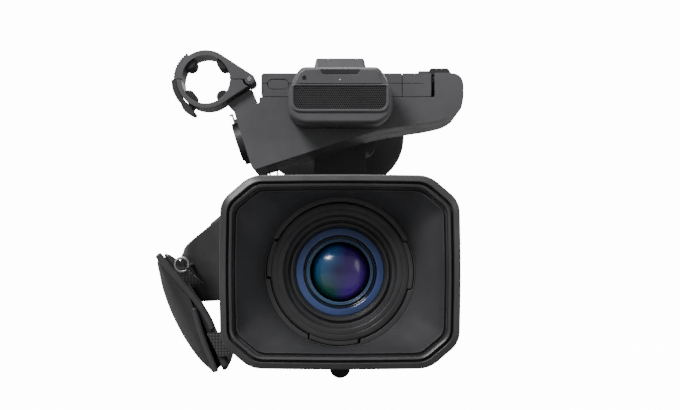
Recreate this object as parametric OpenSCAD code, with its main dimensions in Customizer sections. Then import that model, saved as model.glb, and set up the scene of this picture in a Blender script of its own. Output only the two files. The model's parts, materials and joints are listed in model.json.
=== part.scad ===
// Handheld professional camcorder: lens with a rectangular hood, body, carrying handle with a
// flip-out screen, audio input block, microphone holder, viewfinder, side grip and hand belt.
// The lens points along -Y, +Z is up, and the origin is the centre of the tripod socket's mouth.

/* [Lens] */
// Height of the lens axis above the base
lens_z = 73; // [70:1:80]
// Distance from the tripod socket to the front of the hood
hood_reach = 235; // [230:1:245]
// Width of the hood's front rim
hood_w = 147; // [140:1:150]
// Height of the hood's front rim
hood_h = 119; // [110:1:122]
// Depth of the hood's square cavity
hood_cavity = 38; // [30:1:40]
// Outer radius of the ring that carries the front lens
front_ring_r = 44; // [42:0.5:46]
// Radius of the filter thread (72 mm filters)
filter_r = 36; // [33.5:0.5:38]
// Radius of the front lens
front_glass_r = 28.3; // [26:0.1:30]

/* [Body] */
// Width of the body behind the lens
body_w = 96; // [90:1:100]
// Thickness of the plastic walls
wall = 2.5; // [2:0.1:3]
// Length of the body behind the lens
body_l = 203; // [190:1:205]

/* [Handle] */
// Height of the handle's top above the lens axis
handle_top = 153.7; // [150:0.1:157]
// Width of the handle bar
handle_w = 37; // [32:1:38]
// Depth of the block at the front of the handle
block_depth = 72; // [70:1:74]
// Length of the screen panel across the camcorder
lcd_w = 113; // [108:1:114]
// Depth of the screen panel from front to back
lcd_depth = 66; // [60:1:67]

/* [Microphone holder] */
// Inner radius of the holder's ring
holder_r = 15.9; // [15:0.1:16.5]
// Width of the holder along the microphone
holder_w = 27; // [22:1:30]

/* [Hidden] */
$fn = 64;

// Colours of the real surfaces
dark = "#2b2b2d";
shell_grey = "#48484b";
rubber_black = "#1c1c1d";
metal = "#b9b9bc";
glass_blue = "#33407c";

// Places along the lens axis
hood_y = -hood_reach;
hood_back_y = hood_y + 62;
front_ring_y = hood_y + 40;
body_y = hood_y + 142;
body_end_y = body_y + body_l;
base_front_y = hood_y + 196;
eps = 0.01;

// Places across the body and up it
body_x = body_w / 2;
body_bottom = 10;
body_top = lens_z + 62;
deck_bottom = body_top - 8;

// The handle's front block and the screen that lies in it
block_y = hood_y + 75;
block_end_y = block_y + block_depth;
lcd_floor = lens_z + 116.3;
lcd_top = lens_z + 132.1;
lcd_y = block_y + 2;
hinge_x = 61.8;
hinge_z = lcd_top + 2.3;
hinge_front = lcd_y + 8;
hinge_back = lcd_y + lcd_depth - 8;
knuckle_l = 12.4;
lcd_left = hinge_x - 1.2 - lcd_w;
arm_length = 20.5;
arm_x = hinge_x - arm_length;
tilt_y = lcd_y + lcd_depth / 2;
tilt_z = (lcd_floor + lcd_top) / 2 + 0.2;
socket_lean = 17.5;

// The handle bar and the viewfinder
bar_bottom = lens_z + 126;
bar_end_y = hood_y + 288;
evf_y = hood_y + 318;
evf_z = lens_z + 123;
evf_r = 26;

// The microphone holder, with its ring's centre and its hinge pin
holder_x = -88.6;
holder_z = lens_z + 127.2;
holder_y = block_y - 5;
holder_ring = 3.3;
holder_pin_x = holder_x + 29;
holder_split = 0.25;

// ---------------------------------------------------------------- helpers

function unit(v) = v / norm(v);

// A polygon with each corner rounded off by a curve that starts r before it
function rounded(points, r, steps = 5) = [
  for (i = [0 : len(points) - 1])
    let (v = points[i],
         before = points[(i + len(points) - 1) % len(points)],
         after = points[(i + 1) % len(points)],
         cut = is_list(r) ? r[i] : r,
         a = v + unit(before - v) * cut,
         b = v + unit(after - v) * cut)
    each cut == 0 ? [v] : [for (k = [0 : steps]) let (t = k / steps)
      (1 - t) * (1 - t) * a + 2 * t * (1 - t) * v + t * t * b]
];

function box_points(x0, z0, x1, z1) = [[x0, z0], [x1, z0], [x1, z1], [x0, z1]];

// A rectangle with cut, rounded corners and slightly bowed edges, as points about its middle
function hood_outline(hw, hh, cut_x, cut_z, bow) = rounded(
  [[0, hh + bow], [cut_x - hw, hh], [-hw, hh - cut_z], [-hw - bow, 0], [-hw, cut_z - hh],
   [cut_x - hw, -hh], [0, -hh - bow], [hw - cut_x, -hh], [hw, cut_z - hh], [hw + bow, 0],
   [hw, hh - cut_z], [hw - cut_x, hh]],
  [hw / 2, 7, 7, hh / 3, 7, 7, hw / 2, 7, 7, hh / 3, 7, 7], 6);

// The hood's outline at y: round = 0 is the rectangle and 1 is a circle of radius r
function hood_ring(y, inset, round = 0, r = 1) = [
  for (p = hood_outline(hood_w / 2 - inset, hood_h / 2 - inset, 18.6 - inset / 2, 16 - inset / 2, 0.8))
    let (q = p * (1 - round) + unit(p) * r * round) [q[0], y, lens_z + q[1]]
];

// The solid through a row of rings that lie at rising y, each counter-clockwise seen from the front
module loft(rings) {
  n = len(rings[0]);
  m = len(rings);
  polyhedron(
    points = [for (r = rings) each r],
    faces = concat(
      [[for (i = [n - 1 : -1 : 0]) i]],
      [[for (i = [0 : n - 1]) (m - 1) * n + i]],
      [for (j = [0 : m - 2], i = [0 : n - 1]) each let (k = (i + 1) % n)
        [[j * n + i, j * n + k, (j + 1) * n + k], [j * n + i, (j + 1) * n + k, (j + 1) * n + i]]]
    ));
}

// Extrudes an X-Z outline from y0 to y1
module along_y(y0, y1) {
  translate([0, y1, 0]) rotate([90, 0, 0]) linear_extrude(y1 - y0) children();
}

module cylinder_y(y0, y1, x, z, r) {
  translate([x, y1, z]) rotate([90, 0, 0]) cylinder(h = y1 - y0, r = r);
}

module cylinder_x(x0, x1, y, z, r) {
  translate([x0, y, z]) rotate([0, 90, 0]) cylinder(h = x1 - x0, r = r);
}

module lens_tube(y0, y1, r_out, r_in) {
  difference() {
    cylinder_y(y0, y1, 0, lens_z, r_out);
    cylinder_y(y0 - 1, y1 + 1, 0, lens_z, r_in);
  }
}

module box(low, high) {
  translate(low) cube(high - low);
}

// A control ring with ribs all round it
module ribbed_ring(y0, y1, r_out, r_in, ribs) {
  rib_r = 1.1;
  difference() {
    lens_tube(y0, y1, r_out, r_in);
    for (i = [0 : ribs - 1])
      rotate_round_lens(360 * i / ribs) cylinder_y(y0 + 3, y1 - 3, r_out + 0.45, lens_z, rib_r);
  }
}

module rotate_round_lens(a) {
  translate([0, 0, lens_z]) rotate([0, a, 0]) translate([0, 0, -lens_z]) children();
}

// A solid lens: a disc whose front face is part of a sphere
module dome_lens(y_front, thickness, r, bulge) {
  sphere_r = (r * r + bulge * bulge) / (2 * bulge);
  intersection() {
    cylinder_y(y_front, y_front + thickness, 0, lens_z, r);
    translate([0, y_front + sphere_r, lens_z]) sphere(r = sphere_r, $fn = 240);
  }
}

// ---------------------------------------------------------------- lens

module lens_hood() {
  color(dark) difference() {
    loft([
      hood_ring(hood_y, 1.3),
      hood_ring(hood_y + 1.4, 0.2),
      hood_ring(hood_y + 9, 0),
      hood_ring(hood_y + 13, 2.6),
      hood_ring(hood_y + 40, 3.6),
      hood_ring(hood_y + 50, 3, 0.55, 58),
      hood_ring(hood_back_y, 3, 1, 51)]);
    loft([
      hood_ring(hood_y - 1, 6.9),
      hood_ring(hood_y + hood_cavity, 7.6)]);
    cylinder_y(hood_y + hood_cavity - 1, hood_back_y - 6, 0, lens_z, 48.4);
    cylinder_y(hood_y + hood_cavity - 1, hood_back_y + 1, 0, lens_z, front_ring_r);
    translate([0, knob_y, knob_z]) cylinder(h = 5.4, r = 2.55);
  }
}

knob_y = hood_y + 28;
knob_z = lens_z - hood_h / 2 - 0.9;
module hood_lock_knob() {
  color(rubber_black) {
    translate([0, knob_y, knob_z]) difference() {
      sphere(r = 6.5);
      translate([-8, -8, 0]) cube([16, 16, 8]);
      for (i = [0 : 11]) rotate([0, 0, 30 * i]) translate([6.6, 0, -4]) cylinder(h = 5, r = 0.7);
    }
    translate([0, knob_y, knob_z]) cylinder(h = 2.8, r = 6);
    translate([0, knob_y, knob_z]) cylinder(h = 5, r = 2.5);
  }
}

// Three bayonet lugs stand out round the ring: middle angle and half span of each
lugs = [[169, 15], [5.4, 19], [264.8, 20]];
module lens_front_ring() {
  color(dark) {
    difference() {
      union() {
        cylinder_y(front_ring_y, hood_back_y + 2, 0, lens_z, front_ring_r);
        for (lug = lugs) translate([0, front_ring_y + 4, lens_z]) rotate([90, 0, 0])
          linear_extrude(3) polygon(concat(
            [for (k = [-6 : 6]) let (a = lug[0] + lug[1] * k / 6)
              [(front_ring_r + 2.7) * cos(a), (front_ring_r + 2.7) * sin(a)]],
            [for (k = [6 : -1 : -6]) let (a = lug[0] + lug[1] * k / 6)
              [(front_ring_r - 1) * cos(a), (front_ring_r - 1) * sin(a)]]));
      }
      cylinder_y(front_ring_y - 1, retainer_y, 0, lens_z, filter_r);
      cylinder_y(front_ring_y - 1, hood_back_y + 3, 0, lens_z, filter_r - 2);
    }
  }
}

retainer_y = front_ring_y + 6.5;
module element_retainer() {
  color(rubber_black) difference() {
    cylinder_y(retainer_y, hood_back_y + 2, 0, lens_z, filter_r - 2);
    cylinder_y(retainer_y - 1, hood_back_y + 3, 0, lens_z, front_glass_r);
  }
}

glass_y = front_ring_y + 6.8;
module front_element() {
  color(glass_blue) dome_lens(glass_y, 15, front_glass_r - 0.05, 7);
}

module lens_barrel() {
  color(dark) {
    lens_tube(hood_back_y + 2, body_y + 12, 45.4, 30);
    lens_tube(hood_back_y + 2, hood_back_y + 4, 48, 45.2);
    lens_tube(body_y - 3.5, body_y, 47.5, 45.2);
  }
}

module relay_lens() {
  color(glass_blue) {
    dome_lens(hood_back_y + 20, 10, 29.95, 5);
    dome_lens(body_y - 12, 9, 29.95, 3);
  }
}

blade_count = 6;
module iris_diaphragm() {
  y = hood_back_y + 46;
  color("#606064") difference() {
    cylinder_y(y, y + 2, 0, lens_z, 29.95);
    along_y(y - 1, y + 3) polygon([for (i = [0 : blade_count - 1])
      [12 * cos(60 * i), lens_z + 12 * sin(60 * i)]]);
  }
}

module focus_ring() {
  color(rubber_black) ribbed_ring(hood_back_y + 4.4, hood_back_y + 33, 50, 45.45, 60);
}

module zoom_ring() {
  color(dark) {
    ribbed_ring(hood_back_y + 34, hood_back_y + 55, 49, 45.45, 48);
    rotate_round_lens(-50) cylinder_x(48, 56, hood_back_y + 44.5, lens_z, 2.2);
  }
}

module iris_ring() {
  color(rubber_black) ribbed_ring(hood_back_y + 56, body_y - 4, 48.5, 45.45, 40);
}

// ---------------------------------------------------------------- body

module sensor_block() {
  color("#7d8085") {
    box([-17, body_y + 14, lens_z - 17], [17, body_y + 40, lens_z + 17]);
    cylinder_y(body_y + 12.02, body_y + 14, 0, lens_z, 40);
    box([-21, body_y + 40, lens_z - 19], [21, body_y + 42, lens_z + 19]);
    box([-14, body_y + 42, lens_z - 12], [14, body_y + 52, lens_z + 12]);
  }
}

module main_board() {
  color("#23553a") {
    box([-30, body_y + 60, lens_z - 34], [-28.4, body_end_y - 3.02, lens_z + 34]);
    for (i = [0 : 2]) box([-28.4, body_y + 74 + 36 * i, lens_z - 12],
                          [-25.6, body_y + 94 + 36 * i, lens_z + 8]);
  }
}

function body_outline(inset) = rounded(
  box_points(-body_x + inset, body_bottom + inset, body_x - inset, deck_bottom - inset), 11 - inset);

button_r = 4;
button_spots = [[-58, 26], [-40, 26]];
dial_spot = [62, -14];
switch_spot = [40, 30];

// One half of the body's casing: side is 1 for the camcorder's left half (+X) and -1 for its right
module body_half(side) {
  difference() {
    intersection() {
      along_y(body_y, body_end_y - 3) polygon(body_outline(0));
      box([side > 0 ? 0.05 : -100, body_y - 1, 0], [side > 0 ? 100 : -0.05, body_end_y, 200]);
    }
    along_y(body_y + 3, body_end_y) polygon(body_outline(wall));
    cylinder_y(body_y - 1, body_y + 4, 0, lens_z, 45.5);
    box([-29.75, base_front_y, -1], [29.75, body_end_y - 20, body_bottom + 4]);
  }
}

module body_left_cover() {
  color(shell_grey) difference() {
    body_half(1);
    for (s = button_spots) cylinder_x(body_x - 5, body_x + 1, s[0], lens_z + s[1], button_r + 0.3);
    cylinder_x(body_x - 5, body_x + 1, dial_spot[0], lens_z + dial_spot[1], 4.3);
    box([body_x - 5, switch_spot[0] - 9, lens_z + switch_spot[1] - 2.3],
        [body_x + 1, switch_spot[0] + 9, lens_z + switch_spot[1] + 2.3]);
  }
}

module body_right_cover() {
  color(shell_grey) difference() {
    body_half(-1);
    box([-body_x - 1, body_y + 30, lens_z - 20], [-body_x + 4, body_y + 60, lens_z + 20]);
  }
}

deck_z = deck_bottom;
module body_top_cover() {
  color(shell_grey) along_y(body_y, body_end_y - 3) polygon(rounded(
    [[-body_x + 6, deck_z], [body_x - 6, deck_z], [body_x - 10, body_top], [-body_x + 10, body_top]],
    [0, 0, 5, 5]));
}

socket_r = 3.175;
screw_x = [-20, 20];
screw_y = [base_front_y + 12, body_end_y - 32];
plate_top = body_bottom + 1.8;
module base_plate() {
  color("#3a3a3c") difference() {
    along_y(base_front_y + 0.05, body_end_y - 20.05) polygon(
      [[-29.7, plate_top], [-29.7, body_bottom], [-26, 0], [26, 0], [29.7, body_bottom],
       [29.7, plate_top]]);
    translate([0, 0, -1]) cylinder(h = 10, r = socket_r);
    translate([0, 15.5, -1]) cylinder(h = 7, r = 2.3);
    for (x = screw_x, y = screw_y) translate([x, y, -1]) cylinder(h = 2, r = 2.5);
  }
}

module rear_panel() {
  color(shell_grey) difference() {
    along_y(body_end_y - 3, body_end_y) polygon(body_outline(0));
    for (i = [0 : 1]) cylinder_y(body_end_y - 1.5, body_end_y + 1, -37, lens_z + 34 - 16 * i, 5);
    box([26, body_end_y - 1.5, lens_z + 8], [42, body_end_y + 1, lens_z + 16]);
  }
}

battery_z = 22;
module battery() {
  color(dark) difference() {
    along_y(body_end_y + 0.3, body_end_y + 38) polygon(rounded(
      box_points(-20.5, battery_z, 20.5, battery_z + 70), 3.5));
    box([-21, body_end_y + 37, battery_z + 12], [21, body_end_y + 39, battery_z + 13]);
  }
}

release_z = battery_z + 79;
module battery_release() {
  color(rubber_black) along_y(body_end_y + 0.3, body_end_y + 3.6) polygon(
    rounded(box_points(-8, release_z - 4, 8, release_z + 4), 2));
}

module menu_dial() {
  x = body_x;
  y = dial_spot[0];
  z = lens_z + dial_spot[1];
  color(rubber_black) {
    difference() {
      cylinder_x(x + 0.4, x + 4.4, y, z, 10);
      for (i = [0 : 23]) translate([x + 0.4, y, z]) rotate([15 * i, 0, 0])
        translate([-1, 0, 10.2]) rotate([0, 90, 0]) cylinder(h = 6, r = 0.6);
    }
    cylinder_x(x - 3.5, x + 0.5, y, z, 4);
  }
}

module power_switch() {
  color(rubber_black) {
    box([body_x - 2, switch_spot[0] - 8.6, lens_z + switch_spot[1] - 2],
        [body_x + 0.5, switch_spot[0] - 0.6, lens_z + switch_spot[1] + 2]);
    box([body_x + 0.4, switch_spot[0] - 8.6, lens_z + switch_spot[1] - 4],
        [body_x + 3, switch_spot[0] - 0.6, lens_z + switch_spot[1] + 4]);
  }
}

module assign_button(i) {
  spot = button_spots[i];
  color(rubber_black) cylinder_x(body_x - 4, body_x + 1.6, spot[0], lens_z + spot[1], button_r);
}

// ---------------------------------------------------------------- handle

// The block's outline: a level tray for the screen, a square shoulder at its right-hand end, and an
// input box that leans down to the left
block_outline = rounded(
  [[-70.6, lens_z + 107], [-58, lens_z + 67.5], [26, lens_z + 94.5], [60, lens_z + 99.2],
   [74, lens_z + 102.6], [80.3, lens_z + 107.5], [82, lens_z + 115], [82, lens_z + 132],
   [hinge_x + 1, lens_z + 132],
   [hinge_x + 1, lcd_floor - 0.3], [-53.5, lcd_floor - 0.3], [-53.5, lens_z + 112.2]],
  [3, 3, 12, 8, 5, 2.9, 4, 9, 1, 1, 1, 1]);

socket_y = [block_y + 18, block_y + 50];
socket_mid = [-64.8, lens_z + 88.8];

// Puts a piece on the leaning face, with +Z out of the face and +X down it
module on_socket_face(y) {
  translate([socket_mid[0], y, socket_mid[1]]) rotate([0, -90 - socket_lean, 0]) children();
}

module handle_block() {
  color(shell_grey) difference() {
    along_y(block_y, block_end_y) polygon(block_outline);
    along_y(block_y + 3, block_end_y + 1) polygon(
      [[-66, lens_z + 102], [-56, lens_z + 71.6], [25, lens_z + 98], [57, lens_z + 102.4],
       [75, lens_z + 108], [78, lens_z + 112], [78, lens_z + 126], [hinge_x + 5, lens_z + 126],
       [hinge_x + 5, lens_z + 111.5], [-50, lens_z + 111.5], [-60, lens_z + 106]]);
    for (y = socket_y) on_socket_face(y) translate([0, 0, -12]) cylinder(h = 20, r = 12);
  }
}

module handle_block_back() {
  color(shell_grey) along_y(block_end_y - 2.6, block_end_y - 0.1) polygon(
    [[-65.7, lens_z + 101.8], [-55.8, lens_z + 72], [25, lens_z + 98.4], [57, lens_z + 102.8],
     [74.8, lens_z + 108.4], [77.6, lens_z + 112.2], [77.6, lens_z + 125.6],
     [hinge_x + 5.4, lens_z + 125.6], [hinge_x + 5.4, lens_z + 111.1], [-49.8, lens_z + 111.1],
     [-59.8, lens_z + 105.6]]);
}

module xlr_connectors() {
  color(rubber_black) for (y = socket_y) on_socket_face(y) {
    difference() {
      union() {
        translate([0, 0, 0.05]) cylinder(h = 4.5, r = 13.1);
        translate([0, 0, -10]) cylinder(h = 12, r = 11.95);
      }
      translate([0, 0, -6]) cylinder(h = 12, r = 9.6);
      translate([8.6, -2.2, 0.8]) cube([6, 4.4, 6]);
    }
    translate([0, 0, -6.5]) cylinder(h = 9, r = 7.9);
  }
}

module xlr_tab(i) {
  color(metal) on_socket_face(socket_y[i]) translate([9.8, -1.9, 1.8]) {
    cube([9.6, 3.8, 1.2]);
    translate([8.4, 0, 1.1]) cube([1.2, 3.8, 1.4]);
  }
}

knuckle_top = hinge_z + 2.1;
// The hinge's fixed half: two knuckles, with the moving half's knuckle between them
module lcd_hinge() {
  color(rubber_black) for (y = [hinge_front, hinge_back - knuckle_l]) {
    along_y(y, y + knuckle_l) polygon(
      [[hinge_x + 1.2, lens_z + 132.02], [hinge_x + 13.5, lens_z + 132.02],
       [hinge_x + 10.5, knuckle_top], [hinge_x, knuckle_top], [hinge_x, hinge_z - 1.4]]);
    cylinder_y(y, y + knuckle_l, hinge_x, hinge_z, 2.1);
  }
  color(metal) cylinder_y(hinge_front + 6, hinge_back - 6, hinge_x, hinge_z, 1);
}

// The screen's arm: the hinge's moving knuckle and the end of the panel that doesn't tilt
module lcd_arm() {
  y0 = hinge_front + knuckle_l + 0.4;
  y1 = hinge_back - knuckle_l - 0.4;
  color(shell_grey) difference() {
    union() {
      along_y(lcd_y, lcd_y + lcd_depth) polygon(rounded(
        box_points(arm_x + 0.2, lcd_floor + 0.3, hinge_x - 1.2, lcd_top), [0, 1, 1, 0]));
      along_y(y0, y1) polygon(
        [[hinge_x - 11, lcd_top - 0.1], [hinge_x - 1.5, lcd_top - 0.1], [hinge_x, hinge_z - 1.4],
         [hinge_x, knuckle_top], [hinge_x - 8.2, knuckle_top]]);
      cylinder_y(y0, y1, hinge_x, hinge_z, 2.1);
      cylinder_x(arm_x - 12, arm_x + 1, tilt_y, tilt_z, 3.5);
    }
    cylinder_y(y0 - 1, y1 + 1, hinge_x, hinge_z, 1.04);
    box([arm_x - 20, lcd_y - 1, seam_z], [hinge_x - 6, lcd_y + 0.4, seam_z + 0.5]);
  }
}

seam_z = lens_z + 125;
module lcd_panel() {
  color(shell_grey) difference() {
    along_y(lcd_y, lcd_y + lcd_depth) polygon(rounded(
      box_points(lcd_left, lcd_floor + 0.3, arm_x - 0.2, lcd_top), [1.5, 0, 0, 2.5]));
    box([lcd_left + 9, lcd_y + 6, lcd_floor - 1], [arm_x - 14, lcd_y + lcd_depth - 6, lcd_floor + 1.9]);
    cylinder_x(arm_x - 13, arm_x + 1, tilt_y, tilt_z, 3.55);
    box([lcd_left - 1, lcd_y - 1, seam_z], [arm_x + 1, lcd_y + 0.4, seam_z + 0.5]);
    for (x = [lcd_left + 7.6, lcd_left + 15]) cylinder_y(lcd_y - 1, lcd_y + 3, x, lens_z + 124.8, 3.5);
    box([lcd_left + 7.6, lcd_y - 1, lens_z + 121.3], [lcd_left + 15, lcd_y + 3, lens_z + 128.3]);
  }
}

module lcd_screen() {
  color("#101217") box([lcd_left + 9.2, lcd_y + 6.2, lcd_floor + 0.5],
                       [arm_x - 14.2, lcd_y + lcd_depth - 6.2, lcd_floor + 1.9]);
}

// The microphone unit at the handle's nose
mic_y = hood_y + 43;
mic_z0 = lens_z + 96.5;
mic_z1 = lens_z + 133;
mic_hw = 34.1;
mic_outline = rounded(
  [[-26, mic_z0 - 1.5], [26, mic_z0 - 1.5], [32.8, mic_z0 + 5], [mic_hw, mic_z0 + 14],
   [29.6, mic_z1 - 8.5], [25, mic_z1 - 1], [-25, mic_z1 - 1], [-29.6, mic_z1 - 8.5],
   [-mic_hw, mic_z0 + 14], [-32.8, mic_z0 + 5]],
  [4.5, 4.5, 4, 4, 3.5, 3.5, 3.5, 3.5, 4, 4]);
grille_outline = rounded(
  box_points(-30.2, mic_z0 + 7.5, 30.2, mic_z0 + 23.4), [4, 4, 2, 2]);

module mic_housing() {
  color(shell_grey) difference() {
    along_y(mic_y, block_y) polygon(mic_outline);
    along_y(mic_y - 1, mic_y + 24) polygon(grille_outline);
  }
}

hole_pitch = 1.75;
module mic_grille() {
  color(dark) difference() {
    along_y(mic_y + 0.4, mic_y + 1.4) polygon(grille_outline);
    for (row = [0 : 6], i = [-15 : 15])
      translate([i * hole_pitch * 1.06 + (row % 2) * 0.9, mic_y + 2, mic_z0 + 9.8 + row * 1.95])
        rotate([90, 0, 0]) cylinder(h = 3, r = 0.55, $fn = 16);
  }
}

module mic_capsules() {
  color(metal) for (x = [-16, 16]) {
    cylinder_y(mic_y + 6, mic_y + 16, x, mic_z0 + 13.6, 5);
    cylinder_y(mic_y + 16, mic_y + 24, x, mic_z0 + 13.6, 2);
  }
}

module front_pillar() {
  y0 = block_end_y - 22;
  color(dark) {
    along_y(y0 + 22.1, y0 + 46) polygon(
      box_points(-handle_w / 2, body_top, handle_w / 2, bar_bottom));
  }
}

rear_pillar_y = bar_end_y - 34;
module handle_bar() {
  hw = handle_w / 2;
  color(shell_grey) difference() {
    union() {
      along_y(block_end_y + 0.1, bar_end_y) polygon(rounded(
        [[-hw, bar_bottom], [hw, bar_bottom], [hw, handle_top + lens_z - 7],
         [hw - 1.6, handle_top + lens_z], [-hw + 1.6, handle_top + lens_z],
         [-hw, handle_top + lens_z - 7]], [4, 4, 2, 2, 2, 2]));
      along_y(rear_pillar_y, bar_end_y) polygon(
        box_points(-hw + 2, body_top, hw - 2, bar_bottom + 6));
      for (x = [-29.5, 24.5]) {
        box([x, bar_end_y - 14, evf_z - 12], [x + 5, evf_y, evf_z + 12]);
        cylinder_x(x, x + 5, evf_y, evf_z, 12);
      }
      box([-29.5, bar_end_y - 14, evf_z + 2], [29.5, bar_end_y - 4, evf_z + 12]);
    }
    cylinder_x(-24.4, 24.4, evf_y, evf_z, evf_r + 1);
    cylinder_x(-33, 33, evf_y, evf_z, 5.05);
    translate([0, bar_mid_y, lens_z + handle_top - 4]) cylinder(h = 10, r = 5.3);
    box([-4.4, rocker_y - 12.4, lens_z + handle_top - 4], [4.4, rocker_y + 12.4, lens_z + handle_top + 9]);
  }
}

bar_mid_y = block_end_y + 62;
module handle_rec_button() {
  color("#8d2a2a") translate([0, bar_mid_y, lens_z + handle_top - 3]) cylinder(h = 4.4, r = 5);
}

rocker_y = block_end_y + 88;
module handle_zoom_rocker() {
  z = lens_z + handle_top;
  color(rubber_black) difference() {
    along_x(-4, 4) polygon([[rocker_y - 12, z + 1.8], [rocker_y - 12, z + 0.4], [rocker_y - 4, z - 3.2],
      [rocker_y + 4, z - 3.2], [rocker_y + 12, z + 0.4], [rocker_y + 12, z + 1.8], [rocker_y, z + 0.6]]);
    cylinder_x(-5, 5, rocker_y, z - 1.5, 0.8);
  }
}

// Extrudes a Y-Z outline from x0 to x1
module along_x(x0, x1) {
  translate([x0, 0, 0]) rotate([90, 0, 90]) linear_extrude(x1 - x0) children();
}

shoe_y = bar_end_y - 38;
module accessory_shoe() {
  z = lens_z + handle_top;
  color(metal) {
    box([-10.5, shoe_y, z + eps], [10.5, shoe_y + 20, z + 1.5]);
    for (side = [-1, 1]) {
      box([side > 0 ? 9.35 : -10.5, shoe_y, z + 1.4], [side > 0 ? 10.5 : -9.35, shoe_y + 20, z + 5]);
      box([side > 0 ? 6.3 : -10.5, shoe_y, z + 3.6], [side > 0 ? 10.5 : -6.3, shoe_y + 20, z + 5]);
    }
  }
}

// ---------------------------------------------------------------- viewfinder

module evf_housing() {
  color(shell_grey) difference() {
    union() {
      cylinder_x(-24, 24, evf_y, evf_z, evf_r);
      along_y(evf_y, evf_y + 13.5) polygon(rounded(
        box_points(-24, evf_z - evf_r, 24, evf_z + evf_r), 7));
      along_y(evf_y + 13.2, evf_y + 34) polygon(rounded(
        box_points(-30, evf_z - evf_r, 30, evf_z + evf_r), 12));
      cylinder_x(-29.4, 29.4, evf_y, evf_z, 5);
    }
    cylinder_y(evf_y + 6, evf_y + 36, 0, evf_z, 17);
  }
}

module evf_lens() {
  color(glass_blue) cylinder_y(evf_y + 22, evf_y + 28, 0, evf_z, 16.9);
}

// The eyecup's outline: t = 0 at the tube, 1 at the rim, which spreads to one side
function eyecup_ring(y, grow) = [
  for (i = [0 : 47]) let (a = 7.5 * i,
    wide = 30 + grow * (cos(a) < 0 ? 39 : 27),
    tall = evf_r + grow * (sin(a) < 0 ? 23 : 4),
    p = 2.3)
    [sign(cos(a)) * pow(abs(cos(a)), 2 / p) * wide, y,
     evf_z + sign(sin(a)) * pow(abs(sin(a)), 2 / p) * tall]
];

module evf_eyecup() {
  y0 = evf_y + 34.1;
  color(rubber_black) difference() {
    loft([eyecup_ring(y0, 0.02), eyecup_ring(y0 + 8, 0.1), eyecup_ring(y0 + 16, 0.5),
          eyecup_ring(y0 + 26, 0.85), eyecup_ring(y0 + 38, 1)]);
    loft([eyecup_ring(y0 + 4, -0.12), eyecup_ring(y0 + 12, -0.05),
          eyecup_ring(y0 + 19, 0.34), eyecup_ring(y0 + 28, 0.75), eyecup_ring(y0 + 39, 0.95)]);
    cylinder_y(y0 - 1, y0 + 10, 0, evf_z, 17);
  }
}

// ---------------------------------------------------------------- microphone holder

knuckle_r = 3.4;
lug_a = acos((holder_r + holder_ring - knuckle_r) / 29);
// Half of the holder's ring with its lug: side is 1 for the upper jaw and -1 for the lower, and
// the hinge's knuckle is either joined on or cleared
module jaw_outline(side, joined) {
  r = holder_r + holder_ring;
  difference() {
    union() {
      difference() {
        circle(r = r);
        translate([-60, side > 0 ? -60 + holder_split : -holder_split]) square([120, 60]);
      }
      polygon([[5, side * holder_split], [29, side * holder_split],
        [29 + knuckle_r * cos(lug_a), side * knuckle_r * sin(lug_a)],
        [r * cos(lug_a), side * r * sin(lug_a)]]);
      if (joined) translate([29, 0]) circle(r = knuckle_r);
    }
    circle(r = holder_r);
    if (!joined) translate([29, 0]) circle(r = 4.6);
  }
}

module at_holder(y0, y1) {
  translate([holder_x, y1, holder_z]) rotate([90, 0, 0]) linear_extrude(y1 - y0) children();
}

holder_end_y = holder_y + holder_w;
knuckle_1 = holder_y + 9;
knuckle_2 = holder_end_y - 9;
module mic_holder_upper_jaw() {
  color(shell_grey) {
    difference() {
      union() {
        at_holder(holder_y, knuckle_1 - 0.2) jaw_outline(1, true);
        at_holder(knuckle_1 - 0.2, knuckle_2 + 0.2) jaw_outline(1, false);
        at_holder(knuckle_2 + 0.2, holder_end_y) jaw_outline(1, true);
        at_holder(holder_y + 4, holder_end_y - 4) difference() {
          intersection() {
            circle(r = holder_r + holder_ring + 2.8);
            polygon([[0, 0], [-40, 0.9], [-40, 40], [-29, 40]]);
          }
          circle(r = holder_r + holder_ring - 0.5);
          for (i = [0 : 9]) rotate([0, 0, 130 + 5.2 * i])
            translate([holder_r + holder_ring + 3, 0]) circle(r = 0.7, $fn = 16);
        }
      }
      cylinder_y(holder_y - 1, holder_end_y + 1, holder_pin_x, holder_z, 1.54);
    }
  }
}

latch_a = 241;
latch_r = holder_r + holder_ring + 1.9;
latch_x = holder_x + latch_r * cos(latch_a);
latch_z = holder_z + latch_r * sin(latch_a);
module mic_holder_lower_jaw() {
  color(shell_grey) difference() {
    union() {
      at_holder(holder_y, knuckle_1) jaw_outline(-1, false);
      at_holder(knuckle_1, knuckle_2) jaw_outline(-1, true);
      at_holder(knuckle_2, holder_end_y) jaw_outline(-1, false);
      at_holder(holder_y + 8, holder_end_y - 8) rotate([0, 0, latch_a]) {
        translate([latch_r - 2.9, -1.2]) square([2.9, 2.4]);
        translate([latch_r, 0]) circle(r = 1.2);
      }
    }
    cylinder_y(holder_y - 1, holder_end_y + 1, holder_pin_x, holder_z, 1.5);
    cylinder_y(holder_y, holder_end_y, latch_x, latch_z, 0.63);
  }
}

module pad(a) {
  translate([holder_x + (holder_r + 0.2) * cos(a), 0, holder_z + (holder_r + 0.2) * sin(a)])
    intersection() {
      cylinder_y(holder_y + 2, holder_end_y - 2, 0, 0, 4.4);
      translate([-(holder_r + 0.2) * cos(a), 0, -(holder_r + 0.2) * sin(a)])
        cylinder_y(holder_y + 2, holder_end_y - 2, 0, 0, holder_r - 0.02);
    }
}

module mic_holder_pads_lower() {
  color(rubber_black) for (a = [225, 315]) pad(a);
}

module mic_holder_pads_upper() {
  color(rubber_black) for (a = [45, 135]) pad(a);
}

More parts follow.
